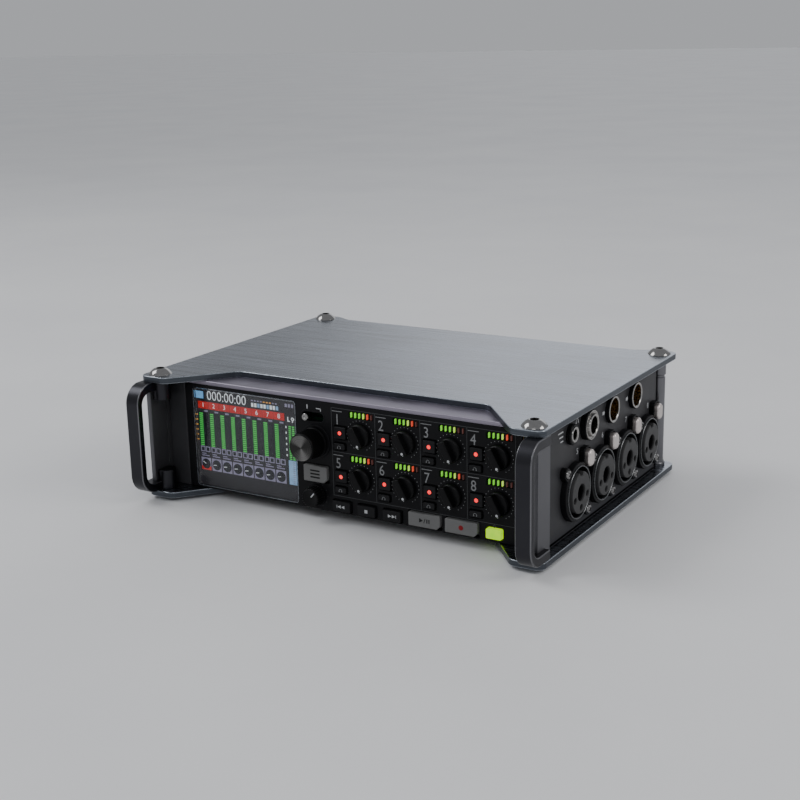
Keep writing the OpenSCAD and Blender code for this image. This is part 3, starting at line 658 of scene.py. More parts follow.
def stud(radius, w0, w1, soft=0.3, bore=0.0, floor=None):
    """Turned profile of a round boss with a soft top edge and, if asked, a blind bore."""
    profile = [(0, w0)] if not bore or floor is not None else [(bore, w0)]
    profile += [(radius, w0)] + arc_profile(soft, radius - soft, w1 - soft, 0, 90, 4)
    if bore:
        profile += [(bore + soft / 2, w1), (bore, w1 - soft / 2)]
        profile += [(bore, floor), (0, floor)] if floor is not None else [(bore, w0)]
    else:
        profile += [(0, w1)]
    return profile


# ---- plates, handles and posts ----------------------------------------------------------


def both_halves(half):
    """Closed outline from its right half, drawn from front to back."""
    return half + [(-a, b) for a, b in reversed(half)]


def plate_outline():
    """Front ears, slanted step back to the recessed front edge, and two rear ears."""
    front, back = handle_low.y + 9, plate_high.y
    half = [(56.75, front + 23.3), (76.65, front), (HALF_W, front), (HALF_W, back),
            (78.8, back), (71.6, back - 3.7)]
    radii = [5, 5, 3.6, 3.4, 3, 3]
    return softened(both_halves(half), radii + radii[::-1], 8)


def add_plates():
    corners = [(s * SCREW_X, y) for s in (-1, 1) for y in SCREW_YS]
    holes = [disc(x, y, 1.7, 24) for x, y in corners]
    top = Shape("top")
    low, high = plate_low.z, plate_high.z
    # the walls take the darker painted-shade copy of the plate metal
    top.plate(plate_outline(), low, high, PLATE, holes, 0.3, 0.25, CUT_EDGE, PLATE_WALL_PAINTED_SHADE)
    top.finish("top_plate_skin", replaces="top_plate", slot="plate_metal")
    bracket = [disc(x, y, BUSH_BORE, 24) for x, y in BUSHES]
    under = Shape("under")
    flipped = [(a, -b) for a, b in plate_outline()]
    sunk = [disc(x, -y, 3.1, 32) for x, y in corners]
    inner, outer = -base_high.z, -base_low.z
    under.plate(flipped, inner, outer, PLATE, sunk + bracket, 0.3, 0.3, CUT_EDGE, PLATE_WALL_PAINTED_SHADE)
    for x, y in corners:
        under.lathe(x, -y, [(3.1, outer), (1.7, outer - 1.5), (1.7, inner)], CUT_EDGE, 32)
    under.finish("bottom_plate_skin", replaces="bottom_plate", slot="plate_metal")


def add_handles():
    """Grab handles: a C-shaped bar with its arms under the plates, a side cheek behind the
    finger slot, a narrow strip that closes the gap from cheek to case, and two screw bosses."""
    z0, z1 = base_high.z, plate_low.z
    y0 = handle_low.y
    front, back, cheek_y = y0 + 2.8, SCREW_YS[0] + 0.8, y0 + 10
    low, high = z0 + 3.6, z1 - 3.9
    corners = [(y0, z0), (back, z0), (back, low), (front, low),
               (front, high), (back, high), (back, z1), (y0, z1)]
    outline = softened(corners, [8.6, 0.3, 0.3, 4.5, 4.5, 0.3, 0.3, 8.6], 14)
    for name, face, side in (("handle_right", "right", 1), ("handle_left", "mirror", -1)):
        bar = Shape(face)
        # the rims take the lighter painted-highlight copy of the handle metal
        bar.plate(outline, HALF_W - 6.2, HALF_W, HANDLE, top=0.4, bottom=0.4, edge=HANDLE_RIM_PAINTED_HIGHLIGHT, steps=4)
        bar.finish(name + "_bar", replaces=name, slot="handle_metal")
        cheek = Shape(face)
        plate = rounded(cheek_y, z0, PANEL_Y - 1.1, z1, 0.3)
        cheek.plate(plate, HALF_W - 4.1, HALF_W - 2.1, CHEEK, top=0.3, bottom=0.3)
        strip_between = rounded(PANEL_Y - 1.8, z0, PANEL_Y + 1.6, z1, 0.2)
        cheek.plate(strip_between, CASE_X + 0.05, HALF_W - 3.6, CASE, top=0.1)
        cheek.finish(name + "_cheek", slot="handle_metal")
        bosses = Shape("top")
        for w0, w1 in ((z0, z0 + 8), (z1 - 8, z1)):
            boss = disc(side * SCREW_X, SCREW_YS[0], 3.8, 40)
            bosses.plate(boss, w0, w1, HANDLE, top=0.3, bottom=0.3)
        bosses.finish(name + "_bosses", slot="handle_metal")


def add_posts():
    z0, z1 = base_high.z, plate_low.z
    foot = [(3.5, z0), (3.5, z0 + 1.2), (3.3, z0 + 1.4), (2.8, z0 + 2.6)]
    neck = [(2.8, z1 - 7.3), (2.5, z1 - 7.1), (2.45, z1 - 6.4), (2.75, z1 - 6.3), (3.0, z1 - 6.0)]
    posts = Shape("top")
    for side in (-1, 1):
        posts.lathe(side * SCREW_X, SCREW_YS[1], foot + neck + [(3.0, z1 - 0.2), (2.8, z1)], POST)
    posts.finish("rear_posts_turned", replaces="rear_posts", slot="post_metal")


def hexed(first, radius):
    """Ripple for lathe() that makes the rings from number first on into a hexagon."""
    flat = radius * math.cos(math.pi / 6)

    def ripple(k, angle):
        return flat / math.cos(angle % (math.pi / 3) - math.pi / 6) - radius if k >= first else 0

    return ripple


def add_screws():
    base, top = plate_high.z, screw_high.z
    radius, socket = 4.75, 1.75
    dome = top - base + 0.35
    ball = (radius**2 + dome**2) / (2 * dome)
    flat = math.sqrt(ball**2 - (ball - 0.35) ** 2)
    start, end = math.asin((ball - dome) / ball), math.acos(flat / ball)
    rise = [start + (end - start) * k / 8 for k in range(9)]
    curve = [(ball * math.cos(a), base + dome - ball + ball * math.sin(a)) for a in rise]
    profile = [(radius - 0.1, base - 0.02)] + curve + [(1.84, top - 0.01), (1.75, top - 0.12)]
    profile += [(1.75, base + 0.85), (1.7, base + 0.8)]
    heads = Shape("top")
    for side in (-1, 1):
        for y in SCREW_YS:
            heads.lathe(side * SCREW_X, y, profile + [(0, base + 0.5)], CHROME, 48,
                        hexed(len(profile) - 3, socket))
    heads.finish("corner_screw_heads", replaces="corner_screws", slot="screw")
    low = -base_low.z
    small = [(3.0, low - 0.15), (2.9, low - 0.05), (1.2, low - 0.05), (1.0, low - 0.1), (1.0, low - 1.0)]
    sunk = Shape("under")
    for side in (-1, 1):
        for y in SCREW_YS:
            sunk.lathe(side * SCREW_X, -y, [(1.6, low - 1.5)] + small + [(0, low - 1.2)], CHROME, 36,
                       hexed(4, 1.0))
    sunk.finish("under_screw_heads", slot="screw")


def add_feet():
    high = base_low.z
    profile = [(6.0, -high), (6.0, -0.4), (5.85, -0.12), (5.5, 0), (4.4, 0), (4.1, -0.25), (0, -0.3)]
    feet = Shape("under")
    for x in (-66, 66):
        for y in (34, -48):
            feet.lathe(x, y, profile, RUBBER, 48)
            feet.lathe(x, y, [(1.9, -0.32), (1.8, -0.14), (0, -0.12)], RUBBER, 32)
    feet.finish("rubber_feet_moulded", replaces="rubber_feet", slot="rubber")


# ---- case -------------------------------------------------------------------------------

SOCKET_PITCH = 23.4
SOCKET_YS = [-25.4 + SOCKET_PITCH * i for i in range(4)]
SOCKET_Z = 19.4
JACK_Z = 42
SMALL_JACK_Y, PHONES_JACK_Y, MINI_YS = -28.3, -13.9, (9.2, 32.5)
door_low, door_high = box_mm("card_door")
tray_low, tray_high = box_mm("battery_tray")
DOOR_Y0, DOOR_Y1 = -33, 7
HINGE_Z = door_low.z + 0.9
PIN_BORE = 0.58
LATCH_OPENING = 3.4


def door_opening():
    """Opening round the card door, with an ear at each lower corner that the hinge pin lies in."""
    y0, y1, low, high = DOOR_Y0 - 0.4, DOOR_Y1 + 0.4, door_low.z - 0.5, door_high.z + 0.4
    under, over, deep = HINGE_Z - PIN_BORE, HINGE_Z + PIN_BORE, 1.5
    corners = [(y0, low), (y1, low), (y1, under), (y1 + deep, under), (y1 + deep, over), (y1, over),
               (y1, high), (y0, high), (y0, over), (y0 - deep, over), (y0 - deep, under), (y0, under)]
    return softened(corners, [0.4, 0.4, 0.35, 0.2, 0.2, 0.35, 0.6, 0.6, 0.35, 0.2, 0.2, 0.35])


def side_panel(side):
    z0, z1 = base_high.z, cover_low.z
    holes = [disc(y, SOCKET_Z, 10.6) for y in SOCKET_YS]
    for i in range(1, 5):
        latch = middle(f"latch_{'right' if side > 0 else 'left'}_{i}")
        holes.append(about(latch.y, latch.z, LATCH_OPENING, LATCH_OPENING, 0.3))
    if side > 0:
        holes += [disc(SMALL_JACK_Y, JACK_Z, 3.5), disc(PHONES_JACK_Y, JACK_Z, 5.5)]
        holes += [disc(y, JACK_Z, 4.9) for y in MINI_YS]
    else:
        holes.append(door_opening())
    name = "case_side_right" if side > 0 else "case_side_left"
    sheet = Shape("right" if side > 0 else "mirror")
    outline = rounded(PANEL_Y + 0.5, z0, REAR_Y, z1 + 0.4, 0.3)
    sheet.plate(outline, CASE_X - SHEET, CASE_X, CASE, holes, 0.25)
    sheet.finish(name, replaces="chassis_tray" if side > 0 else (), slot="case_metal")


def add_case():
    side_panel(1)
    side_panel(-1)
    z0, z1, top = base_high.z, cover_low.z + 0.4, cover_high.z
    floor = Shape("top")
    bushes = [disc(x, y, BUSH_BORE, 24) for x, y in BUSHES]
    near, relief = PANEL_Y + PANEL_T, PANEL_Y + PANEL_T + 2.6
    outline = [(-CASE_X, near), (-6.2, near), (-6.2, relief), (69, relief), (69, near),
               (CASE_X, near), (CASE_X, REAR_Y), (-CASE_X, REAR_Y)]
    floor.plate(outline, z0, z0 + SHEET, CASE, bushes, 0.1)
    for (x, y), bore in zip(BUSHES, bushes):
        floor.plate(disc(x, y, 3.2, 32), z0 + 0.1, z0 + 3.4, POST, [bore], 0.2)
    floor.finish("case_floor", slot="case_metal")
    lugs = Shape("rear")
    axis, near, far = CASE_X - 0.5, CASE_X - 2.4, CASE_X - 0.1
    groove = arc_band(axis, HINGE_Z, PIN_BORE, 0, 270, 90, 12)[:13]
    lug = [(near, HINGE_Z - 1.4), (far, HINGE_Z - 1.4), (far, HINGE_Z - PIN_BORE)] + groove
    lug += [(far, HINGE_Z + PIN_BORE), (far, HINGE_Z + 1.4), (near, HINGE_Z + 1.4)]
    for y in (DOOR_Y0 - 2.4, DOOR_Y1 + 0.6):
        lugs.plate(lug, y, y + 1.8, CASE, top=0)
    lugs.finish("card_door_lugs", slot="case_metal")
    returns = Shape("front", (0, PANEL_Y, 0))
    for side in (-1, 1):
        left, right = sorted((side * 75.85, side * CASE_X))
        returns.plate(rounded(left, z0, right, z1 - 0.5, 0.3), -SHEET, 0, CASE, top=0.3)
    returns.finish("case_front_returns", slot="case_metal")
    cover = Shape("top")
    cover.plate(rounded(-CASE_X, PANEL_Y, CASE_X, REAR_Y, 0.5), z1, top, COVER, top=0.4)
    cover.finish("case_cover_sheet", replaces="case_cover", slot="cover_metal")
    lip = Shape("front", (0, PANEL_Y, 0))
    lip.plate(rounded(-CASE_X, cover_low.z, CASE_X, z1 + 0.2, 0.1, 2), -0.45, 0, COVER, top=0.15)
    lip.finish("case_cover_lip", slot="cover_metal")


# places on the rear face, whose u runs towards -X
SYNC_US, INLET_U, REAR_SOCKET_Z = (57, 43), -43, 34
DATA_U, CAPSULE_U, REAR_PORT_Z = 50, -49, 15


def add_rear_panel():
    """Rear sheet with its openings, and the sleeve that the battery tray slides in."""
    z0, z1 = base_high.z + SHEET, cover_low.z + 0.3
    face = Shape("rear")
    holes = [rounded(tray_low.x - 0.4, tray_low.z - 0.4, tray_high.x + 0.4, tray_high.z + 0.4, 0.8)]
    holes += [disc(u, REAR_SOCKET_Z, 4.3) for u in SYNC_US] + [disc(INLET_U, REAR_SOCKET_Z, 4.8)]
    holes.append(about(DATA_U, REAR_PORT_Z, 9.6, 3.9, 1.3))
    holes.append(about(CAPSULE_U, REAR_PORT_Z, 22.2, 8.2, 1))
    holes += [about(-57 - 3.6 * i, REAR_SOCKET_Z, 1.6, 14, 0.7) for i in range(5)]
    outline = rounded(-CASE_X + SHEET, z0, CASE_X - SHEET, z1, 0.4)
    face.plate(outline, REAR_Y - SHEET, REAR_Y, CASE, holes, 0.2)
    face.finish("rear_panel_sheet", replaces="rear_panel", slot="case_metal")
    bay = Shape("top")
    wide, front, back = 31.6, -0.2, REAR_Y - SHEET
    low, high = tray_low.z - 0.4, tray_high.z + 0.4
    for u0, v0, u1, v1, w0, w1 in (
        (-wide - 1, front - 0.8, wide + 1, back, low - 1, low),
        (-wide - 1, front - 0.8, wide + 1, back, high, high + 1),
        (-wide - 1, front, -wide, back, low - 0.1, high + 0.1),
        (wide, front, wide + 1, back, low - 0.1, high + 0.1),
        (-wide, front - 0.8, wide, front, low - 0.1, high + 0.1),
    ):
        bay.plate(rounded(u0, v0, u1, v1, 0.2), w0, w1, TRAY, top=0.05)
    bay.finish("battery_bay", slot="case_metal")
    ink = Shape("rear")
    for u in SYNC_US:
        ink.mark(disc(u, REAR_SOCKET_Z, 7.6), GREY_INK, REAR_Y, holes=[disc(u, REAR_SOCKET_Z, 7.4)])
    arrows = [(-0.9, 1.3), (0, 0), (0.9, 1.3)], [(-0.9, 0), (0.9, 0), (0, 1.3)]
    for u, arrow in zip(SYNC_US, arrows):
        ink.mark(shifted(arrow, u, 24.2), WHITE_PRINT_AND_HIGHLIGHT, REAR_Y)
    for i in (-1, 0, 1):
        ink.mark(about(INLET_U + 2 * i, 24.6, 1.2, 0.35, 0.1), WHITE_PRINT_AND_HIGHLIGHT, REAR_Y)
    ink.finish("rear_marks", slot="case_metal")


# ---- front panel ------------------------------------------------------------------------

STRIP_PITCH, ROW_PITCH = 19.44, 17.4
KNOB_X, KNOB_Z = 8.0, 36.4
LAMP_X, LAMP_Z = 8.4, 44.0
CONTROL_X, ENCODER_Z, PHONES_Z, SLATE_Z = -12.5, 31.4, 9.9, 41.2
KEYS = ("rewind_key", "stop_key", "forward_key", "play_key", "record_key", "power_key", "menu_key")
FLANGE_W, FLANGE_H = 1.4, 1.1
STEM_BORE = 2.0
INK = 0.06
WINDOW = (-71.5, 5.2, -21.7, 46)


def window(gap, radius):
    """The display opening, drawn smaller by gap on each side."""
    u0, v0, u1, v1 = WINDOW
    return rounded(u0 + gap, v0 + gap, u1 - gap, v1 - gap, radius)


def strip(n):
    """Offset of a channel strip from the first one."""
    return STRIP_PITCH * ((n - 1) % 4), -ROW_PITCH if n > 4 else 0


def key_sizes(node):
    """Middle, width, height and stand of a key cap; its guide flange is wider than the cap."""
    low, high = box_mm(node)
    mid = (low + high) / 2
    return mid.x, mid.z, high.x - low.x - FLANGE_W, high.z - low.z - FLANGE_H, PANEL_Y - low.y


def key_opening(node):
    x, z, wide, tall, _ = key_sizes(node)
    return about(x, z, wide + 2 * KEY_GAP, tall + 2 * KEY_GAP, 0.6)


def add_front_panel():
    panel = Shape("front", (0, PANEL_Y, 0))
    holes = [window(0, 1)]
    holes += [key_opening(k) for k in KEYS]
    for n in STRIPS:
        dx, dz = strip(n)
        holes += [key_opening(f"track_key_{n}"), key_opening(f"listen_key_{n}")]
        holes.append(about(LAMP_X + dx, LAMP_Z + dz, 10.6, 2.4, 0.4))
        holes.append(disc(KNOB_X + dx, KNOB_Z + dz, STEM_BORE, 32))
    encoder_bore = disc(CONTROL_X, ENCODER_Z, 3.4, 40)
    holes += [encoder_bore, disc(CONTROL_X, PHONES_Z, STEM_BORE, 32)]
    holes.append(rounded(-18.2, SLATE_Z - 1.8, -8.4, SLATE_Z + 1.8, 1.7))
    outline = rounded(panel_low.x, panel_low.z, panel_high.x, panel_high.z, 2.4, 8)
    panel.plate(outline, -PANEL_T, 0, PANEL, holes, 0.3)
    panel.plate(disc(CONTROL_X, ENCODER_Z, 6.9, 72), -0.1, 0.5, PANEL, [encoder_bore], 0.25)
    panel.finish("front_panel_moulding", replaces="front_panel", slot="panel_black")


def dot_ring(shape, x, z, radius, dot, first, last, count, material):
    """Scale dots round a knob; angles run clockwise from straight up."""
    for k in range(count):
        a = math.radians(first + (last - first) * k / (count - 1))
        shape.mark(disc(x + radius * math.sin(a), z + radius * math.cos(a), dot, 12), material)


def add_front_marks():
    """Printed lines, strip numbers and scale dots."""
    ink = Shape("front", (0, PANEL_Y, 0))
    left, right, thin = -4.7, STRIP_PITCH * 4 - 4.7, 0.1
    for i in range(5):
        x = left + STRIP_PITCH * i
        ink.mark(rounded(x - thin, 11, x + thin, 46, 0.02, 1), GREY_INK, thick=0.1)
    for z in (11, 28.7, 46):
        ink.mark(rounded(left, z - thin, right, z + thin, 0.02, 1), GREY_INK, thick=0.1)
    for n in STRIPS:
        dx, dz = strip(n)
        overline = rounded(-4.4 + dx, 44.65 + dz, 0.1 + dx, 44.9 + dz, 0.05, 1)
        ink.mark(overline, PALE_INK, thick=INK)
        ink.text(str(n), -2.15 + dx, 41.4 + dz, 0, 5.8, PALE_INK, narrow=0.85)
        dot_ring(ink, KNOB_X + dx, KNOB_Z + dz, 5.85, 0.16, -150, 150, 21, PALE_INK)
    for u, v, wide, tall in ((-15.8, 45.0, 0.45, 1.7), (-10.6, 44.7, 2.2, 0.35), (-9.6, 44.3, 0.35, 1.1)):
        ink.mark(about(u, v, wide, tall, 0.1), WHITE_PRINT_AND_HIGHLIGHT, thick=INK)
    px, pz = key_sizes("power_key")[:2]
    ink.mark(arc_band(px, pz + 2.85, 0.62, 0.42, -235, 55), GREY_INK, thick=INK)
    ink.mark(about(px, pz + 3.25, 0.2, 0.8, 0.05), GREY_INK, thick=INK)
    dot_ring(ink, CONTROL_X, PHONES_Z, 4.85, 0.15, -150, 150, 11, GREY_INK)
    ink.finish("front_marks", slot="panel_black")
    line = Shape("front", (0, PANEL_Y, 0))
    outer, inner = rounded(-71.85, 4.9, -21.45, 46.3, 1.2), rounded(-71.7, 5.05, -21.6, 46.15, 1.1)
    line.plate(outer, 0, 0.1, CUT_EDGE, [inner], 0.04)
    line.finish("window_trim", slot="panel_black")


LAMP_ROW = (LAMP_GREEN, LAMP_GREEN, LAMP_GREEN, LAMP_LIME, LAMP_RED, LAMP_OFF)


def add_windows():
    """Clear pane over the display, and the level lamps of the eight strips."""
    pane = Shape("front", (0, PANEL_Y, 0))
    pane.plate(window(0.1, 0.9), -1, -0.05, GLASS, top=0.15)
    pane.finish("display_pane", replaces="clear_windows", slot="window")
    lamps = Shape("front", (0, PANEL_Y, 0))
    for n in STRIPS:
        dx, dz = strip(n)
        u, v = LAMP_X + dx, LAMP_Z + dz
        lamps.plate(about(u, v, 10.5, 2.3, 0.35), -2.4, -0.9, PANEL, top=0.05)
        for k, material in enumerate(LAMP_ROW):
            shown = material if (n, k) not in ((3, 4), (8, 4)) else LAMP_OFF
            lamps.plate(about(u - 4.45 + 1.78 * k, v, 0.46, 2.0, 0.2, 3), -1, -0.15, shown, top=0.1)
    lamps.finish("level_lamps", slot="window")


def add_screen():
    """Display module with its lit picture: meters, tabs, counter and dial icons."""
    body = Shape("front", (0, PANEL_Y, 0))
    body.plate(window(0.1, 0.8), -2.2, -1.15, SCREEN_BACK, top=0)
    body.plate(rounded(-70.2, 6.5, -23, 44.7, 0.8), -4.7, -2.1, PANEL, top=0)
    body.plate(rounded(-52, 8, -38, 12, 0.4), -7.5, -4.6, GOLD, top=0)
    body.finish("display_body", replaces="display_module", slot="display")
    art = Shape("front", (0, PANEL_Y, 0))

    def bar(u0, v0, u1, v1, colour, lift=0):
        art.plate(rounded(u0, v0, u1, v1, 0.01, 1), -1.14, -1.1 + 0.03 * lift, SCREEN[colour], top=0)

    bar(-71.1, 41.7, -67.3, 44.7, "blue")
    art.text("000:00:00", -55.6, 43.1, -1.12, 5.6, SCREEN["white"], 0.04, 0.9, 0.05)
    for k in range(9):
        bar(-43.3 + 1.45 * k, 43.6, -42.4 + 1.45 * k, 44.1, "amber" if 3 < k < 7 else "grey")
        bar(-43.3 + 1.5 * k, 41.3, -42.2 + 1.5 * k, 42.9, "pale" if k % 3 == 2 else "white")
    for k in range(3):
        bar(-27.0 + 1.5 * k, 43.2, -26.0 + 1.5 * k, 44.5, "grey")
    bar(-26.0, 37.4, -25.6, 39.3, "white")
    bar(-26.0, 37.4, -24.9, 37.8, "white")
    art.plate(disc(-23.6, 38.6, 0.7, 16), -1.14, -1.1, SCREEN["white"], [disc(-23.6, 38.6, 0.35, 12)], 0)
    bar(-23.8, 37.2, -23.4, 38.0, "white")
    pitch = 5.36
    for i in range(8):
        u = -70.2 + pitch * i
        bar(u, 37.5, u + 5.2, 40.5, "red")
        art.text(str(i + 1), u + 2.6, 39.0, -1.08, 2.7, SCREEN["white"], 0.03)
        bar(u + 2.9, 36.3, u + 4.7, 36.9, "grey")
        bar(u, 21.9, u + 5.1, 36.0, "dark")
        for k in range(17):
            bar(u + 0.4, 21.9 + 0.83 * k, u + 2.2, 22.4 + 0.83 * k, "green", 1)
        for k in range(2):
            bar(u + 0.2 + 2.5 * k, 19.3, u + 2.4 + 2.5 * k, 21.6, "grey")
            bar(u + 0.6 + 2.5 * k, 19.7, u + 2.0 + 2.5 * k, 21.2, "dark", 1)
        bar(u + 0.6, 17.5, u + 4.4, 17.9, "grey")
        bar(u + 0.6, 18.3, u + 2.8, 18.7, "grey")
        bar(u + 0.15, 11.6, u + 4.95, 16.8, "grey")
        if i == 0:
            bar(u + 0.15, 11.6, u + 4.95, 13.2, "red", 1)
        art.plate(disc(u + 2.55, 14.2, 2.15, 24), -1.14, -1.04, SCREEN["dark"], top=0)
        angle = 150 if i == 0 else 188
        hand = turned([(0.1, -0.14), (1.7, -0.14), (1.7, 0.14), (0.1, 0.14)], angle, u + 2.55, 14.2)
        art.plate(hand, -1.14, -1.02, SCREEN["white"], top=0)
    for u in (-25.6, -24.0):
        for k in range(17):
            bar(u, 21.9 + 0.83 * k, u + 1.1, 22.4 + 0.83 * k, "green")
    bar(-26.2, 11.7, -22.7, 21.6, "pale")
    for k in range(11):
        bar(-24.2, 12.1 + 0.86 * k, -23.1, 12.4 + 0.86 * k, "grey", 1)
    for k in range(6):
        bar(-71.2, 24.0 + 2.1 * k, -70.7, 24.5 + 2.1 * k, "amber")
        bar(-27.1, 23.2 + 2.3 * k, -26.6, 24.0 + 2.3 * k, "white")
    art.finish("display_picture", slot="display", weld=False)


# ---- keys and knobs ---------------------------------------------------------------------


def key_cap(node, material, cut=0.0):
    """A key cap with its guide flange and plunger; the drawing's origin is its middle."""
    x, z, wide, tall, stand = key_sizes(node)
    cap = Shape("front", (x, PANEL_Y, z))
    a, b = wide / 2, tall / 2
    if cut:
        corners = [(-a, -b), (a - cut, -b), (a, -b + cut), (a, b), (-a, b)]
        outline = softened(corners, [0.5, 0.25, 0.25, 0.5, 0.5])
    else:
        outline = about(0, 0, wide, tall, 0.5)
    cap.plate(outline, -PANEL_T - 0.5, stand, material, top=0.32, steps=4)
    flange = about(0, 0, wide + FLANGE_W, tall + FLANGE_H, 0.4)
    cap.plate(flange, -PANEL_T - 1, -PANEL_T - 0.4, material, top=0)
    cap.lathe(0, 0, stud(0.8, -5.1, -PANEL_T - 0.9, 0.1), material, 16)
    return cap, stand


def triangle(u, v, wide, tall):
    """Arrow head pointing right, or left for a negative width."""
    return [(u, v - tall / 2), (u + wide, v), (u, v + tall / 2)]


def add_transport_keys():
    slash = [(-0.12, -0.95), (0.12, -0.95), (0.12, 0.95), (-0.12, 0.95)]
    icons = {
        "rewind_key": [about(-1.9, 0, 0.22, 1.3, 0.05), triangle(-0.2, 0, -1.4, 1.3),
                       triangle(1.5, 0, -1.4, 1.3)],
        "stop_key": [about(0, 0, 1.3, 1.3, 0.08)],
        "forward_key": [triangle(-1.5, 0, 1.4, 1.3), triangle(0.2, 0, 1.4, 1.3),
                        about(1.9, 0, 0.22, 1.3, 0.05)],
        "play_key": [triangle(-2.0, 0, 1.6, 1.7), turned(slash, -18, 0.25),
                     about(1.3, 0, 0.42, 1.6, 0.05), about(2.2, 0, 0.42, 1.6, 0.05)],
        "record_key": [disc(0, 0, 0.95, 32)],
        "power_key": [],
        "menu_key": [about(0, 1.35 * k, 4.4, 0.62, 0.2) for k in (-1, 0, 1)],
    }
    for node, marks in icons.items():
        light = node in ("play_key", "record_key", "menu_key")
        material, finish = KEY_DARK, "key_dark"
        if light:
            material, finish = KEY_LIGHT, "key_light"
        elif node == "power_key":
            material, finish = GREEN_KEY, "key_green"
        cap, stand = key_cap(node, material, 1.5 if light else 0)
        ink = RED_INK if node == "record_key" else BLACK_PRINT_AND_RECESS_SHADE if light else WHITE_PRINT_AND_HIGHLIGHT
        for mark in marks:
            cap.plate(mark, stand - 0.05, stand + 0.04, ink, top=0)
        cap.finish(node + "_cap", node, node, finish)


def add_strip_controls():
    for n in STRIPS:
        track = f"track_key_{n}"
        cap, stand = key_cap(track, KEY_DARK)
        bezel = [(1.25, stand - 0.05), (1.2, stand + 0.02), (1.0, stand + 0.02), (0.85, stand - 0.25)]
        cap.lathe(0, 0, bezel, KEY_DARK, 32)
        lens = [(0.9, stand - 0.3), (0.88, stand - 0.05), (0.6, stand + 0.1), (0, stand + 0.16)]
        cap.lathe(0, 0, lens, RED_LAMP, 24)
        cap.finish(track + "_cap", track, track, "key_dark")
        listen = f"listen_key_{n}"
        cap, stand = key_cap(listen, KEY_DARK)
        w0, w1 = stand - 0.05, stand + 0.04
        cap.plate(arc_band(0, -0.2, 0.7, 0.56, 0, 180), w0, w1, PALE_INK, top=0)
        for side in (-1, 1):
            cap.plate(about(side * 0.6, -0.38, 0.3, 0.6, 0.1, 3), w0, w1, PALE_INK, top=0)
        cap.finish(listen + "_cap", listen, listen, "key_dark")
        add_gain_knob(n)


def add_gain_knob(n):
    """Low round base with a raised bar across it and a white dot at the bar's pointing end."""
    node = f"gain_knob_{n}"
    mid = middle(node)
    low = box_mm(node)[0]
    stand = PANEL_Y - low.y
    knob = Shape("front", (mid.x, PANEL_Y, mid.z))
    radius = 4.7
    skirt = [(0, 0.35), (radius - 0.15, 0.35), (radius, 0.5), (radius, 1.45), (radius - 0.12, 1.7),
             (radius - 0.5, 2.1), (radius - 0.75, 2.2), (0, 2.2)]
    knob.lathe(0, 0, skirt, KNOB, 72)
    reach, half = 4.3, 1.5
    spread = math.degrees(math.asin(half / reach))
    ends = []
    for middle_angle in (90, 270):
        for k in range(9):
            a = math.radians(middle_angle - spread + 2 * spread * k / 8)
            ends.append((reach * math.cos(a), reach * math.sin(a)))
    knob.plate(turned(ends, -151), 2.0, stand, KNOB, top=0.55, steps=5)
    dot = turned([(0, 3.25)], -151)[0]
    knob.plate(disc(*dot, 0.5, 24), stand - 0.05, stand + 0.04, WHITE_PRINT_AND_HIGHLIGHT, top=0)
    # painted highlight: a small white patch across the rounded end of the bar, standing in for the light its
    # front edge catches
    knob.plate(turned(about(0, 3.9, 0.42, 0.5, 0.1), -151), stand - 0.3, stand - 0.04, WHITE_PRINT_AND_HIGHLIGHT, top=0)
    knob.lathe(0, 0, stud(1.5, STEM_FOOT, 0.4, 0.1), KNOB, 24)
    knob.finish(node + "_cap", node, node, "knob")


def fluted(count, depth, first, last):
    """Ripple for lathe(): count grooves on the rings from first to last."""
    return lambda k, angle: -depth * (0.5 + 0.5 * math.cos(count * angle)) ** 2 if first <= k <= last else 0


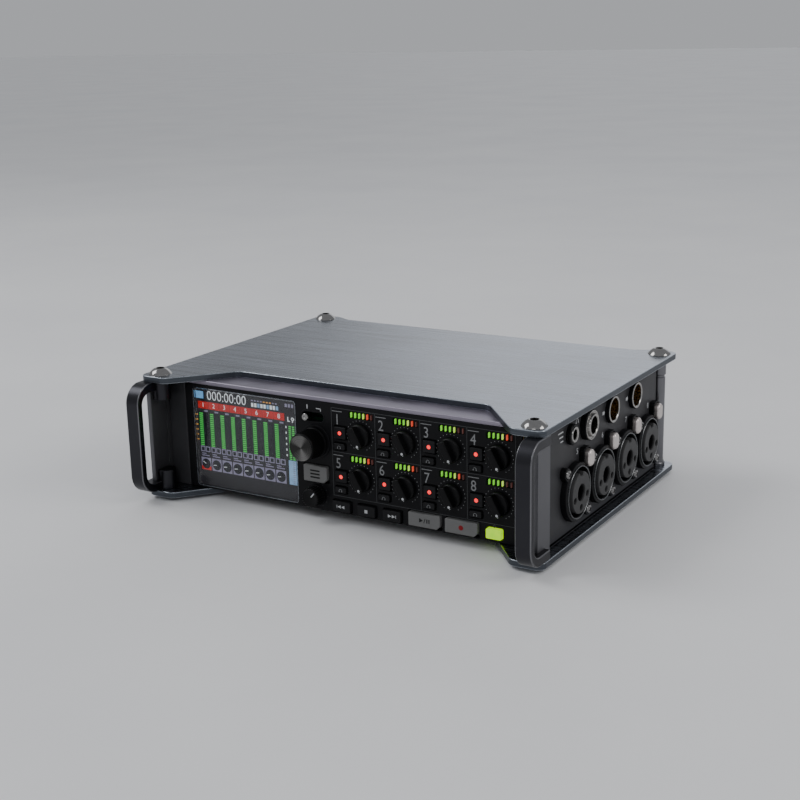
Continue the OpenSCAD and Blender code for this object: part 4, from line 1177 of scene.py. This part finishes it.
def add_control_column():
    """Encoder, headphone volume knob and slate lever with the rim of its slot."""
    knob = Shape("front", (CONTROL_X, PANEL_Y, ENCODER_Z))
    side = [(0, 0.95), (5.5, 0.95), (5.9, 1.25), (5.9, 1.8), (5.72, 2.0)]
    grip = [(5.85 - 0.06 * k, 2.2 + 1.08 * k) for k in range(7)]
    rim = [(5.45, 8.95), (5.5, 9.2), (5.42, 9.6), (5.2, 9.9), (5.0, 10.0)]
    knob.lathe(0, 0, side + grip + rim, KNOB, 360, fluted(72, 0.26, 5, 11))
    knob.lathe(0, 0, [(5.05, 9.95), (4.98, 10.0), (4.85, 9.9), (3.0, 9.88), (0, 9.87)], ENCODER_FACE, 96)
    knob.lathe(0, 0, stud(3.0, STEM_FOOT, 1.0, 0.1), KNOB, 32)
    knob.finish("encoder_knob_turned", "encoder_knob", "encoder_knob", "knob")

    level = Shape("front", (CONTROL_X, PANEL_Y, PHONES_Z))
    side = [(0, 0.45), (4.0, 0.45), (4.1, 0.6), (4.08, 1.1)]
    grip = [(4.06 - 0.05 * k, 1.3 + 0.9 * k) for k in range(5)]
    level.lathe(0, 0, side + grip + [(3.78, 5.1), (3.4, 5.4), (3.0, 5.4), (2.8, 5.3), (0, 5.28)], KNOB, 240,
                fluted(24, 0.3, 4, 9))
    level.plate(turned(about(0, 2.0, 0.5, 2.4, 0.15), -42), 5.2, 5.4, WHITE_PRINT_AND_HIGHLIGHT, top=0)
    level.lathe(0, 0, stud(1.5, STEM_FOOT, 0.5, 0.1), KNOB, 24)
    level.finish("phones_knob_moulded", "phones_knob", "phones_knob", "knob")

    lever = Shape("front", (middle("slate_lever").x, PANEL_Y, SLATE_Z))
    post = [(0, -6.4), (0.9, -6.4), (0.9, -0.2), (1.3, 0), (1.25, 0.5), (1.3, 1.0)]
    head = [(1.45, 1.4), (1.45, 1.75), (1.25, 2.0), (0.5, 2.0), (0.35, 1.85), (0, 1.8)]
    lever.lathe(0, 0, post + head, CHROME, 40)
    lever.finish("slate_lever_turned", "slate_lever", "slate_lever", "latch")
    bed = Shape("front", (0, PANEL_Y, 0))
    bed.plate(rounded(-18.9, SLATE_Z - 2.4, -7.7, SLATE_Z + 2.4, 2.3, 8), -0.1, 0.12, PANEL,
              [rounded(-18.2, SLATE_Z - 1.8, -8.4, SLATE_Z + 1.8, 1.75, 8)], 0.1)
    bed.finish("slate_slot_rim", slot="panel_black")


# ---- sockets ----------------------------------------------------------------------------

CONTACTS = [spoke(5.7, a) for a in (-162, -90, -18)]
LUGS = ((-9.3, 9.4), (9.3, -9.4))
LATCH_AT = (8.4, 11.0)
RELIEF_AT, RELIEF_HALF, RELIEF_DEPTH = math.radians(50.5), math.radians(15), 0.72


def relieved(k, angle):
    """Ripple for lathe() that draws the flange's outer rings in where the latch tab passes."""
    off = abs(angle - RELIEF_AT)
    if not 2 <= k <= 5 or off >= RELIEF_HALF:
        return 0
    return -RELIEF_DEPTH * (0.5 + 0.5 * math.cos(math.pi * off / RELIEF_HALF))


def add_combo_socket(side, index):
    """Locking combination socket: flange, bright rim, deep shell groove and contact insert."""
    y = SOCKET_YS[index - 1]
    shape = Shape("right" if side > 0 else "left", (side * CASE_X, y, SOCKET_Z))
    flange = [(10.4, -3), (10.4, 0.02), (11.2, 0.02), (11.2, 1.9), (11.05, 2.3), (10.7, 2.48), (9.95, 2.5)]
    shape.lathe(0, 0, flange, SOCKET, 144, relieved)
    rim = [(10.0, 2.45), (9.98, 2.8), (9.88, 2.9), (9.62, 2.9), (9.52, 2.8), (9.5, 2.4)]
    shape.lathe(0, 0, rim, RIM_METAL, 72)
    shape.lathe(0, 0, [(9.52, 2.45), (9.4, 2.3), (9.3, 2.0), (9.3, -9.8), (7.85, -9.8)], SOCKET, 72)
    ring = [a for a in disc(0, 0, 7.9, 96) if not (abs(a[0]) < 1.1 and a[1] > 0)]
    gap = max(range(len(ring)), key=lambda i: (Vector(ring[i]) - Vector(ring[i - 1])).length)
    notch = [(1.1, 6.4), (-1.1, 6.4)]
    insert = ring[gap:] + ring[:gap]
    insert = insert + notch if insert[-1][0] > 0 else insert + notch[::-1]
    holes = [disc(0, 0, 3.25, 40)] + [disc(*c, 1.25, 20) for c in CONTACTS]
    shape.plate(insert, -9.8, 3.6, INSERT, holes, top=0.35)
    bore = [(3.27, 3.0), (3.2, 2.8), (3.0, 2.7), (3.0, -9), (2.4, -9.2), (2.4, -15), (0, -15)]
    shape.lathe(0, 0, bore, SOCKET, 40)
    for u, v in CONTACTS:
        shape.lathe(u, v, [(1.26, 2.9), (1.0, 2.8), (0.85, 2.5), (0.85, -7.5), (0, -7.5)], SOCKET, 20)
    for u, v in LUGS:
        angle = math.degrees(math.atan2(v, u))
        shape.plate(turned(rounded(8.5, -2.3, 15.5, 2.3, 2.25, 8), angle), 0.02, 2.3, SOCKET, top=0.4)
        shape.lathe(u, v, [(1.75, 2.28), (1.72, 2.5), (1.5, 2.85), (0.8, 3.1), (0, 3.15)], CHROME, 28)
        # painted shade: each screw's cross recess is a black cross laid on the dome, not a cut
        for turn in (20, 110):
            shape.plate(turned(about(0, 0, 1.9, 0.4, 0.05, 2), turn, u, v), 2.9, 3.17, BLACK_PRINT_AND_RECESS_SHADE, top=0)
    pocket = about(*LATCH_AT, 5.0, 6.8, 1.3)
    shape.plate(about(*LATCH_AT, 6, 8, 1.6), 0.02, 2.2, SOCKET, [pocket], 0.4)
    stem = about(*LATCH_AT, LATCH_OPENING, LATCH_OPENING, 0.3)
    shape.plate(pocket, 0.01, 0.25, SOCKET, [stem], 0)
    name = f"combo_socket_{'right' if side > 0 else 'left'}_{index}"
    first = side > 0 and index == 1
    shape.finish(name, replaces="combo_sockets" if first else (), slot="socket_black")

    latch = f"latch_{'right' if side > 0 else 'left'}_{index}"
    tab = Shape("right" if side > 0 else "left", (side * CASE_X, middle(latch).y, middle(latch).z))
    tab.plate(about(0, 0, 4.7, 6.5, 2.0, 8), 1.5, 4.2, LATCH, top=1.1, bottom=0.3, steps=7)
    tab.plate(about(0, 0, 2.6, 2.6, 0.2), -1.9, 1.6, LATCH, top=0)
    tab.plate(about(0, 0, 4.6, 4.6, 0.2), -2.6, -1.6, LATCH, top=0)
    tab.finish(latch + "_tab", latch, latch, "latch")


def add_side_marks():
    """Socket numbers and small symbols printed on the case sides."""
    arrow = [(-0.9, -0.6), (0.4, -0.6), (0.4, -1.0), (1.3, 0), (0.4, 1.0), (0.4, 0.6), (-0.9, 0.6)]
    for side, face, first in ((1, "right", 5), (-1, "left", 1)):
        ink = Shape(face, (side * CASE_X, 0, 0))
        for i, y in enumerate(SOCKET_YS):
            u = side * y
            ink.text(str(first + i), u + 3.6, SOCKET_Z + 14.2, 0, 3.2, WHITE_PRINT_AND_HIGHLIGHT)
        if side > 0:
            ink.mark(arc_band(-22.2, 45.2, 1.1, 0.85, 0, 180), WHITE_PRINT_AND_HIGHLIGHT)
            for k in (-1, 1):
                ink.mark(about(-22.2 + 0.95 * k, 44.9, 0.5, 1.0, 0.15, 3), WHITE_PRINT_AND_HIGHLIGHT)
            for y in (2.2, 25.4):
                ink.mark(shifted(arrow, y, JACK_Z), WHITE_PRINT_AND_HIGHLIGHT)
            for k in range(3):
                ink.mark(about(-36.5 + 0.5 * k, 44.4 - 1.7 * k, 4.2 - k, 0.5, 0.1, 2), WHITE_PRINT_AND_HIGHLIGHT)
        else:
            card = [(-1.1, -1.3), (1.1, -1.3), (1.1, 0.8), (0.5, 1.3), (-1.1, 1.3)]
            ink.mark(shifted(card, 37.5, JACK_Z), WHITE_PRINT_AND_HIGHLIGHT)
        ink.finish(f"side_marks_{face}", slot="case_metal")


def add_side_jacks():
    def at(y):
        return Shape("right", (CASE_X, y, JACK_Z))

    small = at(SMALL_JACK_Y)
    small.lathe(0, 0, [(3.5, -1), (3.5, 0.02), (3.9, 0.02), (3.9, 1.6), (3.6, 1.95), (2.9, 2.0)], SOCKET)
    small.lathe(0, 0, [(2.95, 1.95), (2.85, 2.2), (2.2, 2.2), (1.9, 2.0), (1.8, 1.7), (1.8, -5)], NICKEL)
    small.lathe(0, 0, [(1.8, -4.8), (1.8, -12), (0, -12)], SOCKET, 32)
    small.finish("line_jack", replaces="panel_sockets", slot="socket_black")
    large = at(PHONES_JACK_Y)
    large.lathe(0, 0, [(5.5, -1), (5.5, 0.02), (5.9, 0.02), (5.9, 2.1), (5.6, 2.5)], SOCKET, 64)
    washer = [(5.62, 2.45), (5.5, 2.65), (5.2, 2.65), (5.0, 2.5), (4.4, 2.4), (4.35, 2.6)]
    large.lathe(0, 0, washer, NICKEL, 64)
    nut = [(4.35, 2.5), (4.3, 3.1), (4.1, 3.38), (3.5, 3.38), (3.27, 3.1), (3.25, -6)]
    large.lathe(0, 0, nut, NICKEL, 240, fluted(30, 0.12, 1, 1))
    large.lathe(0, 0, [(3.25, -5.8), (3.0, -6), (3.0, -18), (0, -18)], SOCKET, 40)
    large.finish("phones_jack", slot="socket_black")
    for i, y in enumerate(MINI_YS):
        mini = at(y)
        mini.lathe(0, 0, [(4.9, -1), (4.9, 0.02), (5.4, 0.02), (5.4, 1.3), (5.2, 1.62)], SOCKET, 64)
        mini.lathe(0, 0, [(5.22, 1.55), (5.1, 1.75), (4.5, 1.75), (4.32, 1.55), (4.3, 1.2)], NICKEL, 64)
        mini.lathe(0, 0, [(4.3, 1.3), (4.28, -7.4), (0, -7.4)], GOLD, 64)
        mini.plate(about(0, 3.95, 1.4, 0.6, 0.1), -4, 1.0, NICKEL, top=0.05)
        mini.plate(disc(0, 0, 3.3, 40), -7.5, -5.6, INSERT, top=0.2)
        for a in (90, 210, 330):
            mini.lathe(*spoke(2.1, a), stud(0.55, -6, -2.6, 0.3), GOLD, 20)
        mini.finish(f"mini_socket_{i + 1}", slot="socket_black")


def add_rear_sockets():
    for i, u in enumerate(SYNC_US):
        sync = Shape("rear", (-u, REAR_Y, REAR_SOCKET_Z))
        nut = disc(0, 0, 6.0, 6)
        collar = [(4.3, -1), (4.3, 0.02), (6.0, 0.02), (6.0, 1.0), (5.8, 1.2), (4.8, 1.2)]
        sync.lathe(0, 0, collar, NICKEL, 48)
        sync.plate(turned([(a * 0.95, b * 0.95) for a, b in nut], 15 * i), 0.9, 1.9, NICKEL, top=0.25)
        barrel = [(4.8, 1.8), (4.8, 7.6), (4.6, 7.95), (4.15, 7.95), (4.0, 7.7), (4.0, 1.7), (2.4, 1.65)]
        sync.lathe(0, 0, barrel, NICKEL)
        sleeve = [(2.4, 1.6), (2.4, 6.3), (2.2, 6.5), (0.9, 6.5), (0.7, 6.3), (0.7, 1.2)]
        sync.lathe(0, 0, sleeve, KEY_LIGHT, 36)
        sync.lathe(0, 0, [(0.62, 1.2), (0.62, 5.6), (0.35, 5.9), (0, 5.9)], GOLD, 20)
        sync.finish(f"sync_socket_{i + 1}", slot="socket_black")
        for s in (-1, 1):
            lug = Shape("right", (-u, REAR_Y + 5.6, REAR_SOCKET_Z))
            start = 4.6 if s > 0 else -5.6
            lug.lathe(0, 0, stud(0.9, start, start + 1.0, 0.2), NICKEL, 24)
            lug.finish(f"sync_lug_{i + 1}_{'ab'[s > 0]}", slot="socket_black")
    inlet = Shape("rear", (-INLET_U, REAR_Y, REAR_SOCKET_Z))
    inlet.lathe(0, 0, [(4.8, -1), (4.8, 0.02), (5.6, 0.02), (5.6, 2.5), (5.3, 2.9), (4.5, 2.95)], SOCKET, 56)
    inlet.lathe(0, 0, [(4.55, 2.9), (4.4, 3.0), (4.15, 2.95), (4.0, 2.6), (4.0, -5.8), (0, -5.8)], NICKEL, 56)
    inlet.plate(disc(0, 0, 3.4, 40), -5.9, -3.8, INSERT, top=0.2)
    for a in (45, 135, 225, 315):
        inlet.lathe(*spoke(1.9, a), stud(0.48, -4, -1.5, 0.25), GOLD, 16)
    inlet.finish("power_inlet", slot="socket_black")
    ports = Shape("rear", (0, REAR_Y, REAR_PORT_Z))
    data, capsule = DATA_U, CAPSULE_U
    ports.plate(about(data, 0, 9.4, 3.7, 1.8, 8), -8, 0.6, NICKEL, [about(data, 0, 8.4, 2.7, 1.3, 8)], 0.15)
    ports.plate(about(data, 0, 9.0, 3.3, 1.5, 8), -8.4, -7.6, SOCKET, top=0)
    ports.plate(about(data, 0, 6.8, 0.6, 0.15), -7.8, -1, SOCKET, top=0.1)
    ports.plate(about(capsule, 0, 22, 8, 0.9), -9, 0.8, SOCKET, [about(capsule, 0, 19.6, 5.6, 0.6)], 0.25)
    ports.plate(about(capsule, 0, 20.6, 6.6, 0.6), -9, -7, SOCKET, top=0)
    ports.plate(about(capsule, 0, 17.6, 1.0, 0.1), -7.2, -3.4, SOCKET, top=0.1)
    for k in range(10):
        ports.plate(about(capsule - 7.2 + 1.6 * k, 0, 0.9, 1.12, 0.02, 1), -7.1, -3.6, GOLD, top=0)
    ports.finish("rear_ports", slot="socket_black")


# ---- card door and battery tray ---------------------------------------------------------


def add_card_door():
    """Drop-down door with a finger notch, inner rim and hinge pins; card slots behind it."""
    z0, z1 = door_low.z, door_high.z
    mid = (DOOR_Y0 + DOOR_Y1) / 2
    door = Shape("mirror")
    corners = [(DOOR_Y0, z0), (DOOR_Y1, z0), (DOOR_Y1, z1), (mid + 5, z1), (mid + 4, z1 - 1.8),
               (mid - 4, z1 - 1.8), (mid - 5, z1), (DOOR_Y0, z1)]
    notched = softened(corners, [0.8, 0.8, 0.8, 0.4, 0.8, 0.8, 0.4, 0.8])
    door.plate(notched, CASE_X - 0.6, CASE_X, CASE, top=0.25)
    door.plate(rounded(DOOR_Y0, z0, DOOR_Y1, z1, 0.8), CASE_X - SHEET, CASE_X - 0.55, CASE, top=0)
    rim = rounded(DOOR_Y0 + 1.2, z0 + 2.4, DOOR_Y1 - 1.2, z1 - 0.8, 0.8)
    inner = rounded(DOOR_Y0 + 2.4, z0 + 3.6, DOOR_Y1 - 2.4, z1 - 2, 0.6)
    door.plate(rim, CASE_X - SHEET - 0.7, CASE_X - SHEET + 0.1, CASE, [inner], 0, 0.15)
    door.plate(about(mid, z0 + 5.2, 7, 0.25, 0.1), CASE_X - 0.05, CASE_X + 0.04, WHITE_PRINT_AND_HIGHLIGHT, top=0)
    door.finish("card_door_cover", "card_door", "card_door", "case_metal")
    pin = Shape("rear", (-CASE_X + 0.5, 0, HINGE_Z))
    for low, high in ((DOOR_Y0 - 1.7, DOOR_Y0 + 0.2), (DOOR_Y1 - 0.2, DOOR_Y1 + 1.7)):
        pin.lathe(0, 0, stud(0.5, low, high, 0.1), NICKEL, 20)
    pin.finish("card_door_pins", "card_door", slot="case_metal")
    reader = Shape("mirror")
    slots = [rounded(-25.3, z - 1.3, -0.7, z + 1.3, 0.2) for z in (40, 44.2)]
    reader.plate(rounded(-28, 37.6, 2, 46.6, 0.4), 82.15, 82.4, NICKEL, slots, 0.05)
    reader.finish("card_reader_face", slot="board")


def add_battery_tray():
    """Slide-out tray: face with a pull recess, thin walls, and two layers of four cells."""
    x1, z0, z1 = tray_high.x, tray_low.z, tray_high.z
    back, front = REAR_Y + 0.4, 1.5
    face = Shape("rear")
    outline = rounded(-x1, z0, x1, z1, 0.8)
    pull = rounded(-9, z1 - 7, 9, z1 - 2.4, 1.6, 8)
    face.plate(outline, back - 1.0, back, CASE, [pull], 0.3)
    face.plate(outline, REAR_Y - 1.4, back - 0.95, CASE, top=0)
    grip = [about(0, z1 - 5.6 + 0.9 * k, 14, 0.35, 0.15) for k in range(3)]
    for rib in grip:
        face.plate(rib, back - 1.0, back - 0.6, CASE, top=0.12)
    for k in (-1, 1):
        face.plate(about(4.2 * k, z0 + 6, 6.4, 3.4, 0.6), back - 0.02, back + 0.03, GREY_INK,
                   [about(4.2 * k, z0 + 6, 6.0, 3.0, 0.45)], 0)
        face.plate(about(4.2 * k + 3.5, z0 + 6, 0.6, 1.4, 0.15), back - 0.02, back + 0.03, GREY_INK, top=0)
    face.finish("battery_tray_face", "battery_tray", "battery_tray", "tray")
    walls = Shape("top")
    deep = REAR_Y - 1.3
    for u0, v0, u1, v1, low, high in (
        (-x1, front, x1, deep, z0, z0 + 1),
        (-x1, front, -x1 + 1, deep, z0 + 0.9, z1 - 4),
        (x1 - 1, front, x1, deep, z0 + 0.9, z1 - 4),
        (-x1 + 0.9, front, x1 - 0.9, front + 1, z0 + 0.9, z1 - 4),
        (-x1 + 0.9, front + 0.9, x1 - 0.9, deep, 24.1, 24.9),
    ):
        walls.plate(rounded(u0, v0, u1, v1, 0.1, 2), low, high, TRAY, top=0.08)
    walls.finish("battery_tray_walls", "battery_tray", slot="tray")
    for i in range(4):
        for j in range(2):
            cell = Shape("rear", (-21.6 + 14.4 * i, 0, z0 + 8 + 15.1 * j))
            start = front + 2.4
            cell.lathe(0, 0, [(0, start), (6.2, start), (6.6, start + 0.2)], NICKEL, 40)
            cell.lathe(0, 0, [(6.55, start + 0.1), (6.95, start + 0.3), (7, start + 0.8), (7, start + 48.2),
                              (6.9, start + 48.8), (6.4, start + 49), (5.9, start + 48.9)], CELL, 40)
            cell.lathe(0, 0, [(6.0, start + 48.85), (2.7, start + 48.8), (2.6, start + 50),
                              (2.3, start + 50.2), (0, start + 50.2)], NICKEL, 32)
            cell.finish(f"battery_cell_{i + 1}_{j + 1}", "battery_tray", slot="tray")


# ---- assembly ---------------------------------------------------------------------------


def add_floor():
    mesh = bpy.data.meshes.new("floor")
    reach = 9.0
    corners = [(-reach, -reach, 0), (reach, -reach, 0), (reach, reach, 0), (-reach, reach, 0)]
    mesh.from_pydata(corners, [], [(0, 1, 2, 3)])
    g = Graph("studio_floor")
    mottle = g.noise(6.0, 5.0)
    grain = g.noise(900.0, 3.0)
    mesh.materials.append(g.set(
        Base_Color=g.ramp(mottle, (0.73, 0.73, 0.74), (0.79, 0.79, 0.79)),
        Roughness=g.spread(grain, 0.55, 0.7),
        Normal=g.bump(grain, 2e-5),
    ))
    floor = bpy.data.objects.new("floor", mesh)
    bpy.context.collection.objects.link(floor)


def add_world():
    """Soft room light, brighter overhead than at the horizon, with a wide pale patch behind the
    object that the brushed plate reflects on its right half."""
    world = bpy.data.worlds.new("studio")
    world.use_nodes = True
    tree = world.node_tree

    def ranged(source, low, high, lowest, highest):
        made = tree.nodes.new("ShaderNodeMapRange")
        made.interpolation_type = "SMOOTHSTEP"
        for key, value in (("From Min", low), ("From Max", high), ("To Min", lowest), ("To Max", highest)):
            made.inputs[key].default_value = value
        tree.links.new(source, made.inputs["Value"])
        return made.outputs[0]

    def vector(operation, source, value=None):
        made = tree.nodes.new("ShaderNodeVectorMath")
        made.operation = operation
        tree.links.new(source, made.inputs[0])
        if value:
            made.inputs[1].default_value = value
        return made

    heading = tree.nodes.new("ShaderNodeTexCoord").outputs["Generated"]
    split = tree.nodes.new("ShaderNodeSeparateXYZ")
    tree.links.new(heading, split.inputs[0])
    room = ranged(split.outputs[2], 0.0, 0.9, 0.48, 0.56)
    flattened = vector("NORMALIZE", vector("MULTIPLY", heading, (1, 1, 1.9)).outputs[0])
    aim = Vector((-0.16, 0.93, 0.30 * 1.9)).normalized()
    patch = ranged(vector("DOT_PRODUCT", flattened.outputs[0], aim).outputs["Value"], 0.915, 0.957, 0.0, 1.15)
    total = tree.nodes.new("ShaderNodeMath")
    tree.links.new(room, total.inputs[0])
    tree.links.new(patch, total.inputs[1])
    back = tree.nodes["Background"]
    back.inputs["Color"].default_value = (0.86, 0.88, 0.92, 1)
    tree.links.new(total.outputs[0], back.inputs["Strength"])
    bpy.context.scene.world = world


add_camera()
add_world()
add_floor()
for light in LIGHTS:
    add_area(*light)

add_plates()
add_handles()
add_posts()
add_screws()
add_feet()
add_case()
add_rear_panel()
add_front_panel()
add_front_marks()
add_windows()
add_screen()
add_transport_keys()
add_strip_controls()
add_control_column()
for side_sign in (1, -1):
    for socket_index in range(1, 5):
        add_combo_socket(side_sign, socket_index)
add_side_marks()
add_side_jacks()
add_rear_sockets()
add_card_door()
add_battery_tray()
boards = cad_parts["circuit_boards"]
boards.data.materials.clear()
boards.data.materials.append(BOARD)
